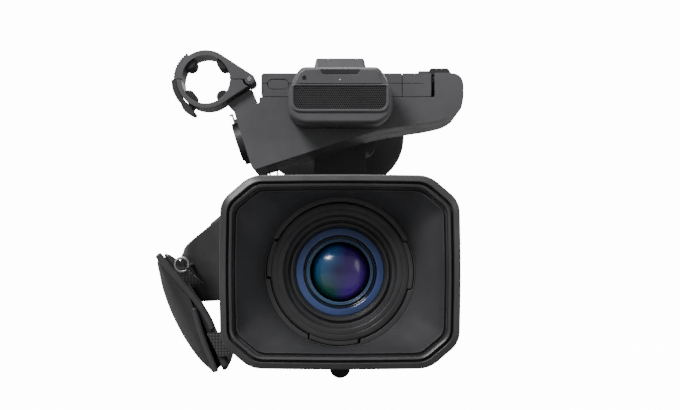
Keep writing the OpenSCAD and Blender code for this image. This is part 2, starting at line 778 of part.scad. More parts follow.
module mic_holder_latch() {
  r = holder_r + holder_ring;
  color(dark) difference() {
    at_holder(holder_y + 4, holder_end_y - 4) {
      difference() {
        intersection() {
          circle(r = r + 3.9);
          polygon([[0, 0], [-40, 0.3], [-40, -30], [-20.3, -40]]);
        }
        circle(r = r + 0.5);
      }
      polygon([for (p = [[r + 0.8, 236], [r + 3.8, 222], [r + 5.6, 232], [r + 5.8, 243],
        [r + 5.6, 250], [r + 3.6, 251], [r + 2.8, 246]]) [p[0] * cos(p[1]), p[0] * sin(p[1])]]);
    }
    at_holder(holder_y + 7.6, holder_end_y - 7.6) rotate([0, 0, latch_a])
      translate([r - 2, -2.3]) square([6.5, 4.6]);
  }
  color(metal) cylinder_y(holder_y + 6, holder_end_y - 6, latch_x, latch_z, 0.6);
}

module mic_holder_pin() {
  color(metal) cylinder_y(holder_y - 0.4, holder_end_y + 0.4, holder_pin_x, holder_z, 1.5);
}

// The height of the input block's leaning top at x
function block_top(x) = lens_z + 106 + (x + 74) * 6.2 / 20.5;
module mic_holder_base() {
  color(shell_grey) difference() {
    along_y(holder_y + 6, holder_end_y - 1) polygon(
      [[holder_x + 13.7, holder_z - 15.6], [holder_x + 30, holder_z - 5.6],
       [-54.8, block_top(-54.8) + 0.02], [-70.6, block_top(-70.6) + 0.02]]);
    cylinder_y(holder_y, holder_end_y + 1, holder_x, holder_z, holder_r + holder_ring + eps);
  }
}

// ---------------------------------------------------------------- grip and belt

// The grip's section at y: k is how far it swells out from the body
function grip_ring(y, k, root) = [for (p = rounded(
  [[root, -36], [root, 60], [-52 - 34 * k, 60 - 22.8 * k], [-52 - 59.3 * k, 60 - 43.5 * k],
   [-52 - 60 * k, 12.5 * k], [-52 - 58.3 * k, -2.9], [-52 - 46.8 * k, -18 - 3.9 * k],
   [-52 - 37.5 * k, -19 + 1.8 * k]], [1, 1, 5, 2, 2, 4, 3, 3], 3)) [p[0], y, lens_z + p[1]]];

module grip_body() {
  color(dark) difference() {
    loft([grip_ring(hood_y + 116, 0.5, -52), grip_ring(hood_y + 122, 0.8, -52),
          grip_ring(hood_y + 134, 0.97, -52), grip_ring(body_y + 0.5, 1, -52),
          grip_ring(body_y + 1, 1, -48.05), grip_ring(hood_y + 240, 1, -48.05),
          grip_ring(hood_y + 262, 0.9, -48.05), grip_ring(hood_y + 276, 0.6, -48.05)]);
    translate([-86, hood_y + 172, lens_z + 37]) rotate([0, -40, 0]) box([-8, -18, -8], [8, 18, 16]);
    cylinder_y(hood_y + 262, hood_y + 290, -72, lens_z + 14, 7.4);
    cylinder_y(hood_y + 110, hood_y + 127.02, -103, lens_z + 5, 1.21);
  }
}

module zoom_rocker() {
  color(rubber_black) translate([-86, hood_y + 172, lens_z + 37]) rotate([0, -40, 0]) difference() {
    along_x(-7.4, 7.4) polygon([[-17, 3], [-17, -1], [-5, -7], [5, -7], [17, -1], [17, 3], [0, 0.6]]);
    cylinder_x(-8, 8, 0, -3, 1.1);
  }
}

module rec_button() {
  color("#8d2a2a") cylinder_y(hood_y + 266, hood_y + 278.5, -72, lens_z + 14, 7);
}

// The hand belt runs from the grip's outer side, round under the hand, to the body's lower edge
belt_y0 = hood_y + 106;
belt_y1 = hood_y + 248;

function from_axis(points) = [for (p = points) [p[0], lens_z + p[1]]];

module grip_belt_pad() {
  color(rubber_black) along_y(belt_y0, belt_y1) polygon(rounded(from_axis(
    [[-121, 13], [-118.5, -8], [-107.5, -38], [-98.5, -55], [-85, -67.5], [-70, -69.5],
     [-48.2, -63], [-48.2, -57], [-70, -63.5], [-82, -62], [-93, -51], [-101.8, -36],
     [-113.2, -7], [-113.6, 13]]),
    [3, 6, 6, 6, 6, 6, 0, 0, 6, 5, 5, 6, 6, 3]));
}

module grip_belt_flap() {
  color(dark) along_y(belt_y0 - 1, belt_y1 - 35) polygon(rounded(from_axis(
    [[-120.8, 6], [-119, -8.2], [-108, -38.3], [-98.9, -55.4], [-85.4, -68], [-87.5, -71.3],
     [-101.5, -58.8], [-111, -41.5], [-122.5, -9], [-124.6, 6]]),
    [1.5, 5, 5, 5, 1.2, 1.2, 5, 5, 5, 1.5]));
}

module grip_belt_webbing() {
  color("#333335") {
    along_y(belt_y0 + 5, belt_y0 + 8) polygon(from_axis(
      [[-94.5, -44], [-92, -40.5], [-56, -37], [-56, -55], [-80, -60], [-91.3, -49.8]]));
    along_y(belt_y1 - 45, belt_y1 - 20) polygon(from_axis(
      [[-111, 17], [-112.6, 14.6], [-119.5, 13.1], [-119.5, 16.5]]));
  }
}

module strap_ring(x, y, z) {
  translate([x, y, z]) rotate([90, 0, 0]) rotate_extrude() translate([4.6, 0]) circle(r = 1, $fn = 24);
}

module strap_rings() {
  color(metal) {
    strap_ring(-107.5, hood_y + 100, lens_z + 5);
    cylinder_y(hood_y + 99.4, hood_y + 127, -103, lens_z + 5, 1.2);
    strap_ring(body_x + 6, body_end_y - 16, lens_z + 44);
  }
}

module cable_guides() {
  color(rubber_black) difference() {
    for (x = [-54, -47]) translate([x, block_end_y - 6, lens_z + 67.5 + (x + 58) * 0.3214 - 1.9])
      rotate([90, 0, 0]) rotate_extrude() translate([2.6, 0]) circle(r = 0.55, $fn = 24);
    along_y(block_y, block_end_y) polygon(block_outline);
  }
}

module case_screws() {
  color(metal) for (x = screw_x, y = screw_y) translate([x, y, 0.3]) difference() {
    cylinder(h = 0.7, r = 2.5);
    translate([-2, -0.3, -1]) cube([4, 0.6, 1.4]);
    translate([-0.3, -2, -1]) cube([0.6, 4, 1.4]);
  }
}

lens_hood();
hood_lock_knob();
lens_front_ring();
front_element();
element_retainer();
lens_barrel();
relay_lens();
iris_diaphragm();
focus_ring();
zoom_ring();
iris_ring();
sensor_block();
main_board();
body_left_cover();
body_right_cover();
body_top_cover();
base_plate();
rear_panel();
battery();
battery_release();
handle_block();
handle_block_back();
xlr_connectors();
xlr_tab(0);  // xlr_tab_front
xlr_tab(1);  // xlr_tab_rear
lcd_hinge();
lcd_arm();
lcd_panel();
lcd_screen();
mic_housing();
mic_grille();
mic_capsules();
handle_bar();
front_pillar();
accessory_shoe();
handle_rec_button();
handle_zoom_rocker();
evf_housing();
evf_eyecup();
evf_lens();
mic_holder_base();
mic_holder_lower_jaw();
mic_holder_upper_jaw();
mic_holder_pads_lower();
mic_holder_pads_upper();
mic_holder_latch();
mic_holder_pin();
grip_body();
zoom_rocker();
rec_button();
grip_belt_pad();
grip_belt_flap();
grip_belt_webbing();
strap_rings();
cable_guides();
menu_dial();
power_switch();
assign_button(0);  // assign_button_1
assign_button(1);  // assign_button_2
case_screws();
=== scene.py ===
"""Looks of the camcorder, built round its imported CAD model."""

import json
import math

import bmesh
import bpy
from mathutils import Matrix, Vector


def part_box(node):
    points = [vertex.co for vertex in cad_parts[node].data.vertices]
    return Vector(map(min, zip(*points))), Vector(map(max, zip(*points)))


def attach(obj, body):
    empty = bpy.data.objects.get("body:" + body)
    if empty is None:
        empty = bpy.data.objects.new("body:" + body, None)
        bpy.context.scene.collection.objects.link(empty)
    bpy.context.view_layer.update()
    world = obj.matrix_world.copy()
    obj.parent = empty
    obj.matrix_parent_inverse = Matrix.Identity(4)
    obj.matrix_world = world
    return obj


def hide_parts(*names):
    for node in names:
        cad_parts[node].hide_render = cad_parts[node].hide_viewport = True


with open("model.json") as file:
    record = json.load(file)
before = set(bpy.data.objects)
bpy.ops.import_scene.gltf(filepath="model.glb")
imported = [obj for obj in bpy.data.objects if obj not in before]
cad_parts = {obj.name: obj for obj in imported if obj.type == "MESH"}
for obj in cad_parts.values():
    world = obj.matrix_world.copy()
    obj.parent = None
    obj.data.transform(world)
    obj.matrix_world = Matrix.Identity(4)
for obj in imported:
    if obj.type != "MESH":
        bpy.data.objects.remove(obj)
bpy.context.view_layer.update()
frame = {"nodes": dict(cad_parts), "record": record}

MM = 0.001
NODES = frame["nodes"]


# ------------------------------------------------------------------ places

lens_low, lens_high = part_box("focus_ring")
AXIS_Z = (lens_low.z + lens_high.z) / 2
HOOD_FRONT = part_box("lens_hood")[0].y


# ------------------------------------------------------------------ camera, light and stage

CAMERA_DISTANCE = 0.864
camera_data = bpy.data.cameras.new("camera")
camera_data.lens = 75
camera_data.sensor_width = 36
camera_data.shift_y = 0.0985
camera_data.clip_end = 50
camera = bpy.data.objects.new("camera", camera_data)
camera.location = (0, HOOD_FRONT - CAMERA_DISTANCE, AXIS_Z)
camera.rotation_euler = (math.radians(90), 0, 0)
bpy.context.scene.collection.objects.link(camera)
bpy.context.scene.camera = camera


def area_light(name, place, aim, size, power, colour=(1, 1, 1)):
    data = bpy.data.lights.new(name, "AREA")
    data.shape = "DISK"
    data.size = size
    data.energy = power
    data.color = colour
    light = bpy.data.objects.new(name, data)
    light.location = place
    light.rotation_euler = (Vector(aim) - Vector(place)).to_track_quat("-Z", "Y").to_euler()
    bpy.context.scene.collection.objects.link(light)


area_light("key_light", (-0.95, -1.6, 1.5), (0, -0.15, 0.1), 0.7, 46)
area_light("fill_light", (1.7, -1.4, 0.6), (0, -0.1, 0.1), 1.3, 7)
area_light("top_light", (0.1, 0.1, 1.9), (0, 0, 0.1), 1.1, 22)
area_light("back_light", (0.9, 1.8, 1.0), (0, 0.1, 0.1), 1.0, 16)
area_light("back_fill", (-1.6, 1.2, 0.8), (0, 0.1, 0.1), 1.0, 9)

# The backdrop is white to the camera and dim to the object, as a lit cyclorama far behind it is
BACKDROP = 14.0
AMBIENT = 0.28
world = bpy.data.worlds.new("studio")
world.use_nodes = True
sky = world.node_tree.nodes["Background"]
sky.inputs["Color"].default_value = (1, 1, 1, 1)
seen = world.node_tree.nodes.new("ShaderNodeLightPath")
level = world.node_tree.nodes.new("ShaderNodeMapRange")
level.inputs["To Min"].default_value = AMBIENT
level.inputs["To Max"].default_value = BACKDROP
world.node_tree.links.new(seen.outputs["Is Camera Ray"], level.inputs["Value"])
world.node_tree.links.new(level.outputs["Result"], sky.inputs["Strength"])
bpy.context.scene.world = world


# ------------------------------------------------------------------ materials

class Nodes:
    """A material's node tree, with short calls that add nodes and link them."""

    def __init__(self, name):
        self.material = bpy.data.materials.new(name)
        self.material.use_nodes = True
        self.tree = self.material.node_tree
        self.shader = self.tree.nodes["Principled BSDF"]
        self.place = self.add("ShaderNodeTexCoord").outputs["Object"]

    def add(self, kind, **settings):
        node = self.tree.nodes.new(kind)
        for key, value in settings.items():
            setattr(node, key, value)
        return node

    def link(self, source, target):
        self.tree.links.new(source, target)

    def mapped(self, scale=(1, 1, 1), turn=(0, 0, 0)):
        node = self.add("ShaderNodeMapping")
        node.inputs["Scale"].default_value = scale
        node.inputs["Rotation"].default_value = turn
        self.link(self.place, node.inputs["Vector"])
        return node.outputs["Vector"]

    def noise(self, scale, detail=3, vector=None, roughness=0.5):
        node = self.add("ShaderNodeTexNoise")
        node.inputs["Scale"].default_value = scale
        node.inputs["Detail"].default_value = detail
        node.inputs["Roughness"].default_value = roughness
        self.link(vector or self.place, node.inputs["Vector"])
        return node.outputs["Fac"]

    def cells(self, scale, vector=None, feature="F1"):
        node = self.add("ShaderNodeTexVoronoi", feature=feature)
        node.inputs["Scale"].default_value = scale
        self.link(vector or self.place, node.inputs["Vector"])
        return node.outputs["Distance"]

    def spread(self, value, low, high, from_low=0.3, from_high=0.7):
        """Maps the middle of a texture's values to low and high."""
        node = self.add("ShaderNodeMapRange")
        node.inputs["From Min"].default_value = from_low
        node.inputs["From Max"].default_value = from_high
        node.inputs["To Min"].default_value = low
        node.inputs["To Max"].default_value = high
        self.link(value, node.inputs["Value"])
        return node.outputs["Result"]

    def shade(self, value, dark, light, from_low=0.3, from_high=0.7):
        """A colour between dark and light that follows a texture's value."""
        node = self.add("ShaderNodeMix", data_type="RGBA")
        node.inputs["A"].default_value = (*dark, 1)
        node.inputs["B"].default_value = (*light, 1)
        self.link(self.spread(value, 0, 1, from_low, from_high), node.inputs["Factor"])
        return node.outputs["Result"]

    def mix(self, factor, first, second):
        node = self.add("ShaderNodeMix", data_type="RGBA")
        self.link(factor, node.inputs["Factor"])
        self.link(first, node.inputs["A"])
        self.link(second, node.inputs["B"])
        return node.outputs["Result"]

    def combine(self, first, second, operation="ADD"):
        node = self.add("ShaderNodeMath", operation=operation)
        self.link(first, node.inputs[0])
        if isinstance(second, (int, float)):
            node.inputs[1].default_value = second
        else:
            self.link(second, node.inputs[1])
        return node.outputs["Value"]

    def bump(self, height, strength, distance):
        node = self.add("ShaderNodeBump")
        node.inputs["Strength"].default_value = strength
        node.inputs["Distance"].default_value = distance
        self.link(height, node.inputs["Height"])
        self.link(node.outputs["Normal"], self.shader.inputs["Normal"])

    def colour(self, socket):
        self.link(socket, self.shader.inputs["Base Color"])

    def roughness(self, socket):
        self.link(socket, self.shader.inputs["Roughness"])

    def set(self, **values):
        for key, value in values.items():
            self.shader.inputs[key.replace("_", " ")].default_value = value
        return self.material


def scaled(colour, factor):
    return tuple(min(1, c * factor) for c in colour)


def moulded(name, colour, rough=0.5, grain=1600, depth=0.00004, specular=0.5):
    """Moulded plastic or textured paint: a fine spark-eroded grain with faint handling marks."""
    n = Nodes(name)
    broad = n.noise(28, 4)
    n.colour(n.shade(broad, scaled(colour, 0.86), scaled(colour, 1.16)))
    n.roughness(n.spread(n.noise(60, 5), rough - 0.07, rough + 0.08))
    n.bump(n.combine(n.noise(grain, 2), n.cells(grain * 0.8)), 0.5, depth)
    return n.set(Specular_IOR_Level=specular)


def soft_rubber(name, colour, rough=0.72):
    n = Nodes(name)
    n.colour(n.shade(n.noise(45, 5), scaled(colour, 0.8), scaled(colour, 1.3)))
    n.roughness(n.spread(n.noise(90, 4), rough - 0.08, rough + 0.1))
    n.bump(n.noise(2400, 2), 0.4, 0.00003)
    return n.set(Specular_IOR_Level=0.35)


def anodised(name, colour, rough=0.35, metallic=0.85):
    """Turned and anodised metal: fine rings round the lens axis."""
    n = Nodes(name)
    n.colour(n.shade(n.noise(50, 3), scaled(colour, 0.85), scaled(colour, 1.2)))
    n.roughness(n.spread(n.noise(400, 2, n.mapped((0.05, 8, 0.05))), rough - 0.06, rough + 0.08))
    n.bump(n.noise(900, 1, n.mapped((0.02, 4, 0.02))), 0.25, 0.00002)
    return n.set(Metallic=metallic)


def bright_metal(name, colour, rough=0.28):
    n = Nodes(name)
    n.colour(n.shade(n.noise(120, 4), scaled(colour, 0.8), scaled(colour, 1.1)))
    n.roughness(n.spread(n.noise(700, 3, n.mapped((1, 0.08, 1))), rough - 0.08, rough + 0.1))
    n.bump(n.noise(1500, 2, n.mapped((1, 0.05, 1))), 0.2, 0.00001)
    return n.set(Metallic=1.0)


def coated_glass_painted_reflection(name, tint):
    """A coated front lens: dark, glossy, with the coating's colour painted in at grazing angles as a painted
    reflection.
    """
    n = Nodes(name)
    facing = n.add("ShaderNodeLayerWeight")
    facing.inputs["Blend"].default_value = 0.35
    # Painted reflection: the coating colour is painted in where the glass is seen at a grazing angle, dark
    # where it faces the viewer.
    n.colour(n.shade(facing.outputs["Facing"], scaled(tint, 0.15), tint, 0.05, 0.85))
    n.roughness(n.spread(n.noise(30, 2), 0.02, 0.045))
    return n.set(Specular_IOR_Level=0.9, Coat_Weight=1.0, Coat_Roughness=0.02, Coat_Tint=(*tint, 1))


def circuit_board(name):
    n = Nodes(name)
    n.colour(n.shade(n.cells(260), (0.005, 0.05, 0.02), (0.02, 0.16, 0.06), 0.1, 0.6))
    n.roughness(n.spread(n.noise(200, 3), 0.3, 0.5))
    n.bump(n.cells(300), 0.4, 0.0001)
    return n.set()


def woven(name, colour, pitch=0.0009):
    """Nylon webbing: two crossing sets of threads, with painted shade in the hollows between them and painted
    light on their raised tops.
    """
    n = Nodes(name)
    waves = []
    for turn in ((0, 0, 0), (0, math.radians(90), 0)):
        wave = n.add("ShaderNodeTexWave", wave_type="BANDS", bands_direction="X")
        wave.inputs["Scale"].default_value = 1 / pitch / 6
        wave.inputs["Distortion"].default_value = 0.6
        n.link(n.mapped((1, 1, 1), turn), wave.inputs["Vector"])
        waves.append(wave.outputs["Fac"])
    height = n.combine(waves[0], waves[1], "MULTIPLY")
    # Painted shade and light: the colour darkens where the crossing threads sit low and lightens where they
    # stand high.
    n.colour(n.shade(height, scaled(colour, 0.45), scaled(colour, 1.4), 0.1, 0.9))
    n.roughness(n.spread(n.noise(300, 3), 0.75, 0.95))
    n.bump(height, 0.7, 0.0002)
    return n.set(Sheen_Weight=0.3, Specular_IOR_Level=0.2)


def grained_leather(name, colour, gloss=0.0):
    n = Nodes(name)
    cells = n.cells(620, feature="DISTANCE_TO_EDGE")
    n.colour(n.shade(n.noise(40, 5), scaled(colour, 0.8), scaled(colour, 1.35)))
    n.roughness(n.spread(cells, 0.55 - gloss, 0.38 - gloss / 2, 0.0, 0.3))
    n.bump(cells, 0.5, 0.0001)
    return n.set(Specular_IOR_Level=0.4)


MATERIALS = {
    "black_shell": moulded("black_shell_plastic", (0.028, 0.028, 0.030), 0.48),
    "grey_shell": moulded("grey_shell_paint", (0.085, 0.085, 0.090), 0.42),
    "rubber": soft_rubber("black_rubber", (0.022, 0.022, 0.023)),
    "lens_glass": coated_glass_painted_reflection("coated_glass_painted_reflection", (0.10, 0.16, 0.42)),
    "steel": bright_metal("nickel_plate", (0.62, 0.62, 0.64)),
    "black_aluminium": anodised("black_anodised", (0.045, 0.045, 0.048)),
    "black_fabric": woven("black_webbing", (0.03, 0.03, 0.032)),
    "black_leather": grained_leather("black_leather", (0.03, 0.03, 0.032)),
    "aluminium": anodised("plain_aluminium", (0.7, 0.7, 0.72), 0.3),
    "circuit_board": circuit_board("circuit_board"),
    "screen_glass": moulded("screen_glass", (0.012, 0.013, 0.016), 0.12, 300, 0.000002, 0.7),
    "painted_steel": moulded("painted_steel", (0.06, 0.06, 0.064), 0.4, 2200, 0.00002),
    "red_plastic": moulded("red_plastic", (0.20, 0.012, 0.012), 0.35),
    "gloss_black": moulded("satin_black", (0.03, 0.03, 0.032), 0.3, 900, 0.00001),
}


# ------------------------------------------------------------------ CAD nodes: shading and edges

EDGE = {"lens_hood": 0.5, "handle_block": 0.8, "handle_bar": 1.0, "body_left_cover": 0.6,
        "body_right_cover": 0.6, "lcd_panel": 0.5, "lcd_arm": 0.5, "mic_grille": 0.0}
SLOT_OF = {s["node"]: s["material_slot"] for s in frame["record"]["subparts"]}


def smooth(obj, edge_mm=0.3, angle=32):
    """Welds, softens and shades an object without touching its mesh's points."""
    obj.data.polygons.foreach_set("use_smooth", [True] * len(obj.data.polygons))
    weld = obj.modifiers.new("weld", "WELD")
    weld.merge_threshold = 0.000002
    if edge_mm:
        bevel = obj.modifiers.new("soft_edges", "BEVEL")
        bevel.width = edge_mm * MM
        bevel.segments = 2
        bevel.limit_method = "ANGLE"
        bevel.angle_limit = math.radians(angle)
        bevel.harden_normals = True
    normals = obj.modifiers.new("normals", "WEIGHTED_NORMAL")
    normals.keep_sharp = True


for node_name, node in NODES.items():
    node.data.materials.clear()
    node.data.materials.append(MATERIALS[SLOT_OF[node_name]])
    smooth(node, EDGE.get(node_name, 0.25))


# ------------------------------------------------------------------ mesh helpers

def new_piece(name, verts, faces, body, slot, material, replaces=(), edge_mm=0.0, smooth_it=True,
              subdivide=0):
    """Makes a piece from points in mm and puts it on its body with its material."""
    mesh = bpy.data.meshes.new(name)
    mesh.from_pydata([(x * MM, y * MM, z * MM) for x, y, z in verts], [], faces)
    mesh.update()
    tidy = bmesh.new()
    tidy.from_mesh(mesh)
    bmesh.ops.remove_doubles(tidy, verts=tidy.verts, dist=0.000001)
    bmesh.ops.recalc_face_normals(tidy, faces=tidy.faces)
    tidy.to_mesh(mesh)
    tidy.free()
    piece = bpy.data.objects.new(name, mesh)
    bpy.context.scene.collection.objects.link(piece)
    mesh.materials.append(material)
    if subdivide:
        layer = piece.modifiers.new("subdivide", "SUBSURF")
        layer.levels = layer.render_levels = subdivide
    if smooth_it:
        smooth(piece, edge_mm)
    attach(piece, body)
    if replaces:
        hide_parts(*replaces)
    return piece


def joined(parts):
    """One list of points and faces from several."""
    verts, faces = [], []
    for part_verts, part_faces in parts:
        start = len(verts)
        verts += part_verts
        faces += [tuple(start + i for i in face) for face in part_faces]
    return verts, faces


def loft(rings, cap_first=True, cap_last=True, closed=False):
    """Points and faces of a skin through rings that have the same number of points."""
    n = len(rings[0])
    verts = [p for ring in rings for p in ring]
    faces = []
    spans = len(rings) if closed else len(rings) - 1
    for j in range(spans):
        a, b = j * n, ((j + 1) % len(rings)) * n
        faces += [(a + i, a + (i + 1) % n, b + (i + 1) % n, b + i) for i in range(n)]
    if not closed and cap_first:
        faces.append(tuple(range(n)))
    if not closed and cap_last:
        faces.append(tuple(reversed(range(len(verts) - n, len(verts)))))
    return verts, faces


def rounded(points, radii, steps=6):
    """An outline with its corners rounded, each from its radius before to its radius after."""
    result = []
    count = len(points)
    for i, v in enumerate(points):
        r = radii[i] if isinstance(radii, (list, tuple)) else radii
        v = Vector(v)
        if r == 0:
            result.append(tuple(v))
            continue
        before = v + (Vector(points[i - 1]) - v).normalized() * r
        after = v + (Vector(points[(i + 1) % count]) - v).normalized() * r
        for k in range(steps + 1):
            t = k / steps
            result.append(tuple((1 - t) ** 2 * before + 2 * t * (1 - t) * v + t * t * after))
    return result


def lathe(profile, centre=(0, 0), steps=160, closed=False, caps=False):
    """A profile of (y, r) turned round a line along Y through (x, z)."""
    rings = []
    for y, r in profile:
        rings.append([(centre[0] + r * math.cos(math.tau * k / steps), y,
                       centre[1] + r * math.sin(math.tau * k / steps)) for k in range(steps)])
    return loft(rings, caps, caps, closed)


def prism(outline, y0, y1):
    """An (x, z) outline run from y0 to y1."""
    return loft([[(x, y0, z) for x, z in outline], [(x, y1, z) for x, z in outline]])


def domed(outline, y_back, y_front, edge, dome=0.0, layers=3):
    """An outline run from y_back to y_front with a rounded front edge and a slightly domed face."""
    cx = sum(p[0] for p in outline) / len(outline)
    cz = sum(p[1] for p in outline) / len(outline)
    sign = 1 if y_back > y_front else -1
    rings = [[(x, y_back, z) for x, z in outline]]
    for k in range(layers + 1):
        a = math.pi / 2 * k / layers
        inset = edge * (1 - math.cos(a))
        y = y_front + sign * edge * (1 - math.sin(a))
        ring = []
        for x, z in outline:
            d = math.hypot(x - cx, z - cz)
            f = max(0.05, 1 - inset / max(d, 0.01))
            ring.append((cx + (x - cx) * f, y, cz + (z - cz) * f))
        rings.append(ring)
    if dome:
        last = rings[-1]
        for f in (0.75, 0.45, 0.15):
            rings.append([(cx + (x - cx) * f, y - sign * dome * (1 - f * f), cz + (z - cz) * f)
                          for x, y, z in last])
    return loft(rings)


def turned(part, matrix):
    return [tuple(matrix @ Vector(v)) for v in part[0]], part[1]


def face_frame(place, out, up=(0, 0, 1)):
    """A matrix that puts a piece drawn in X-Z with its front at -Y onto a face at place."""
    out = Vector(out).normalized()
    back = -out
    side = back.cross(Vector(up)).normalized()
    top = side.cross(back)
    m = Matrix((side, back, top)).transposed().to_4x4()
    m.translation = Vector(place)
    return m


L = AXIS_Z / MM
HOOD_Y = HOOD_FRONT / MM


def mm_box(node):
    low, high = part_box(node)
    return low / MM, high / MM


# ------------------------------------------------------------------ lens hood

hood_low, hood_high = mm_box("lens_hood")
HOOD_HW = (hood_high.x - hood_low.x) / 2 - 0.8
HOOD_HH = (hood_high.z - hood_low.z) / 2 - 0.8


def hood_outline(inset, bow=0.8):
    hw, hh = HOOD_HW - inset, HOOD_HH - inset
    cx, cz = 18.6 - inset * 0.45, 16 - inset * 0.42
    r = 7 - min(inset, 9) * 0.35
    return rounded(
        [(0, hh + bow), (cx - hw, hh), (-hw, hh - cz), (-hw - bow, 0), (-hw, cz - hh), (cx - hw, -hh),
         (0, -hh - bow), (hw - cx, -hh), (hw, cz - hh), (hw + bow, 0), (hw, hh - cz), (hw - cx, hh)],
        [hw / 2, r, r, hh / 3, r, r, hw / 2, r, r, hh / 3, r, r], 10)


def hood_ring(depth, inset, blend=0.0, radius=1.0):
    ring = []
    for x, z in hood_outline(inset):
        d = math.hypot(x, z)
        ring.append((x * (1 - blend) + x / d * radius * blend, HOOD_Y + depth,
                     L + z * (1 - blend) + z / d * radius * blend))
    return ring


hood_black = moulded("hood_black", (0.044, 0.044, 0.046), 0.36, 1500, 0.00002)
hood_rings = [hood_ring(62, 3, 1, 48), hood_ring(62, 3, 1, 51), hood_ring(60.5, 3, 0.93, 51.6),
              hood_ring(50, 3, 0.55, 58), hood_ring(40, 3.6), hood_ring(13, 2.6), hood_ring(11.6, 2.2),
              hood_ring(9.2, 0.2), hood_ring(8.4, 0), hood_ring(3.2, 0), hood_ring(2.2, 0.2),
              hood_ring(1.5, 0.8), hood_ring(0.35, 3.3), hood_ring(0.0, 3.75), hood_ring(0.25, 4.1),
              hood_ring(0.6, 4.2), hood_ring(4.2, 4.35), hood_ring(4.4, 5.6), hood_ring(1.5, 5.75),
              hood_ring(1.2, 5.95), hood_ring(1.3, 6.3), hood_ring(2.1, 7.35), hood_ring(2.5, 7.55),
              hood_ring(7.6, 7.9)]
new_piece("hood_rim", *loft(hood_rings, False, False), "camcorder", "black_shell", hood_black,
          ["lens_hood"])

# The matt baffle inside the hood, which narrows to the round opening in front of the lens
baffle_black = moulded("hood_baffle", (0.050, 0.050, 0.053), 0.5, 2600, 0.00003, 0.45)


def reach(outline, angle):
    """How far a ray from the lens axis runs before it meets an outline."""
    ux, uz = math.cos(angle), math.sin(angle)
    far = 0.0
    for (ax, az), (bx, bz) in zip(outline, outline[1:] + outline[:1]):
        ex, ez = bx - ax, bz - az
        across = ux * ez - uz * ex
        if abs(across) < 1e-9:
            continue
        along = (ax * ez - az * ex) / across
        part = (ax * uz - az * ux) / across
        if -1e-6 <= part <= 1 + 1e-6:
            far = max(far, along)
    return far


def baffle_ring(depth, inset, blend=0.0, radius=1.0, steps=360):
    """A ring of evenly spread points, so the baffle has no creases where it turns round."""
    outline = hood_outline(inset)
    ring = []
    for k in range(steps):
        a = -math.tau * k / steps
        r = reach(outline, a) * (1 - blend) + radius * blend
        ring.append((r * math.cos(a), HOOD_Y + depth, L + r * math.sin(a)))
    return ring


BAFFLE_LIP = 6.1
BAFFLE_RUN = 33
BAFFLE_INSET = 10.1
OPENING_R = 48.5
baffle = [baffle_ring(7.6, 7.9), baffle_ring(8.0, 9.2), baffle_ring(6.2, 9.5), baffle_ring(5.9, 9.75),
          baffle_ring(BAFFLE_LIP, BAFFLE_INSET)]
for k in range(1, 15):
    t = k / 14
    turn = t * t * (3 - 2 * t) * 0.6 + t * 0.4
    baffle.append(baffle_ring(BAFFLE_LIP + BAFFLE_RUN * t, BAFFLE_INSET + 2 * t, turn, OPENING_R))
baffle += [baffle_ring(39.4, 12.1, 1, 48.3), baffle_ring(41.2, 12.1, 1, 48.1),
           baffle_ring(41.2, 12.1, 1, 48.0)]
new_piece("hood_baffle", *loft(baffle, False, False), "camcorder", "black_shell", baffle_black)

# ------------------------------------------------------------------ front of the lens

RING_Y = HOOD_Y + 40
LUGS = ((169, 15), (5.4, 19), (264.8, 20))


def lug_outline(base, lug, margin_deg, steps=360):
    """A circle that steps out to the lugs' radius over each lug."""
    points = []
    for k in range(steps):
        a = 360 * k / steps
        near = any(abs((a - m + 180) % 360 - 180) < s + margin_deg for m, s in LUGS)
        r = lug if near else base
        points.append((r * math.cos(math.radians(a)), L + r * math.sin(math.radians(a))))
    return points


def flat_ring(outer, inner, y_front, y_back):
    """A flat annulus between two outlines with the same number of points."""
    return loft([[(x, y_back, z) for x, z in outer], [(x, y_front + 0.25, z) for x, z in outer],
                 [(x * 0.995, y_front, L + (z - L) * 0.995) for x, z in outer],
                 [(x * 1.005, y_front, L + (z - L) * 1.005) for x, z in inner],
                 [(x, y_front + 0.25, z) for x, z in inner], [(x, y_back, z) for x, z in inner]],
                False, False, True)


def circle_outline(r, steps=360):
    return [(r * math.cos(math.tau * k / steps), L + r * math.sin(math.tau * k / steps))
            for k in range(steps)]


ring_black = moulded("lens_ring_black", (0.042, 0.042, 0.044), 0.42, 2200, 0.00002)
new_piece("hood_collar", *flat_ring(circle_outline(48.2), lug_outline(44.9, 47.3, 1.3), RING_Y + 0.2,
                                    RING_Y + 4), "camcorder", "black_shell", ring_black)
new_piece("bayonet_lugs", *flat_ring(lug_outline(44.3, 46.8, 0), circle_outline(43), RING_Y + 0.5,
                                     RING_Y + 7), "camcorder", "black_shell", ring_black)

steps_profile = [(22, 44.2), (1.2, 44.2), (0.3, 43.9), (0, 43.3), (-0.1, 40.4), (0.3, 40.1), (0.3, 39.9),
                 (-0.05, 39.7), (0.1, 36.9), (0.45, 36.4), (1.5, 36.1)]
for k in range(6):
    steps_profile += [(1.8 + 0.75 * k, 36.0), (2.15 + 0.75 * k, 35.5)]
steps_profile += [(6.3, 35.6), (6.5, 35.3), (6.3, 33.6), (6.9, 33.3), (8.3, 33.2), (8.4, 31.9), (6.7, 31.8),
                  (6.4, 31.5), (6.3, 30.4), (6.6, 30.1)]
for k in range(5):
    steps_profile += [(7.0 + 0.5 * k, 30.0 - 0.36 * k), (7.35 + 0.5 * k, 29.5 - 0.36 * k)]
steps_profile += [(10.4, 27.9), (22, 27.9)]
new_piece("lens_front_rings", *lathe([(RING_Y + d, r) for d, r in steps_profile], (0, L), 224),
          "camcorder", "black_aluminium", anodised("lens_ring_metal", (0.036, 0.036, 0.038), 0.4, 0.2),
          ["lens_front_ring", "element_retainer"])


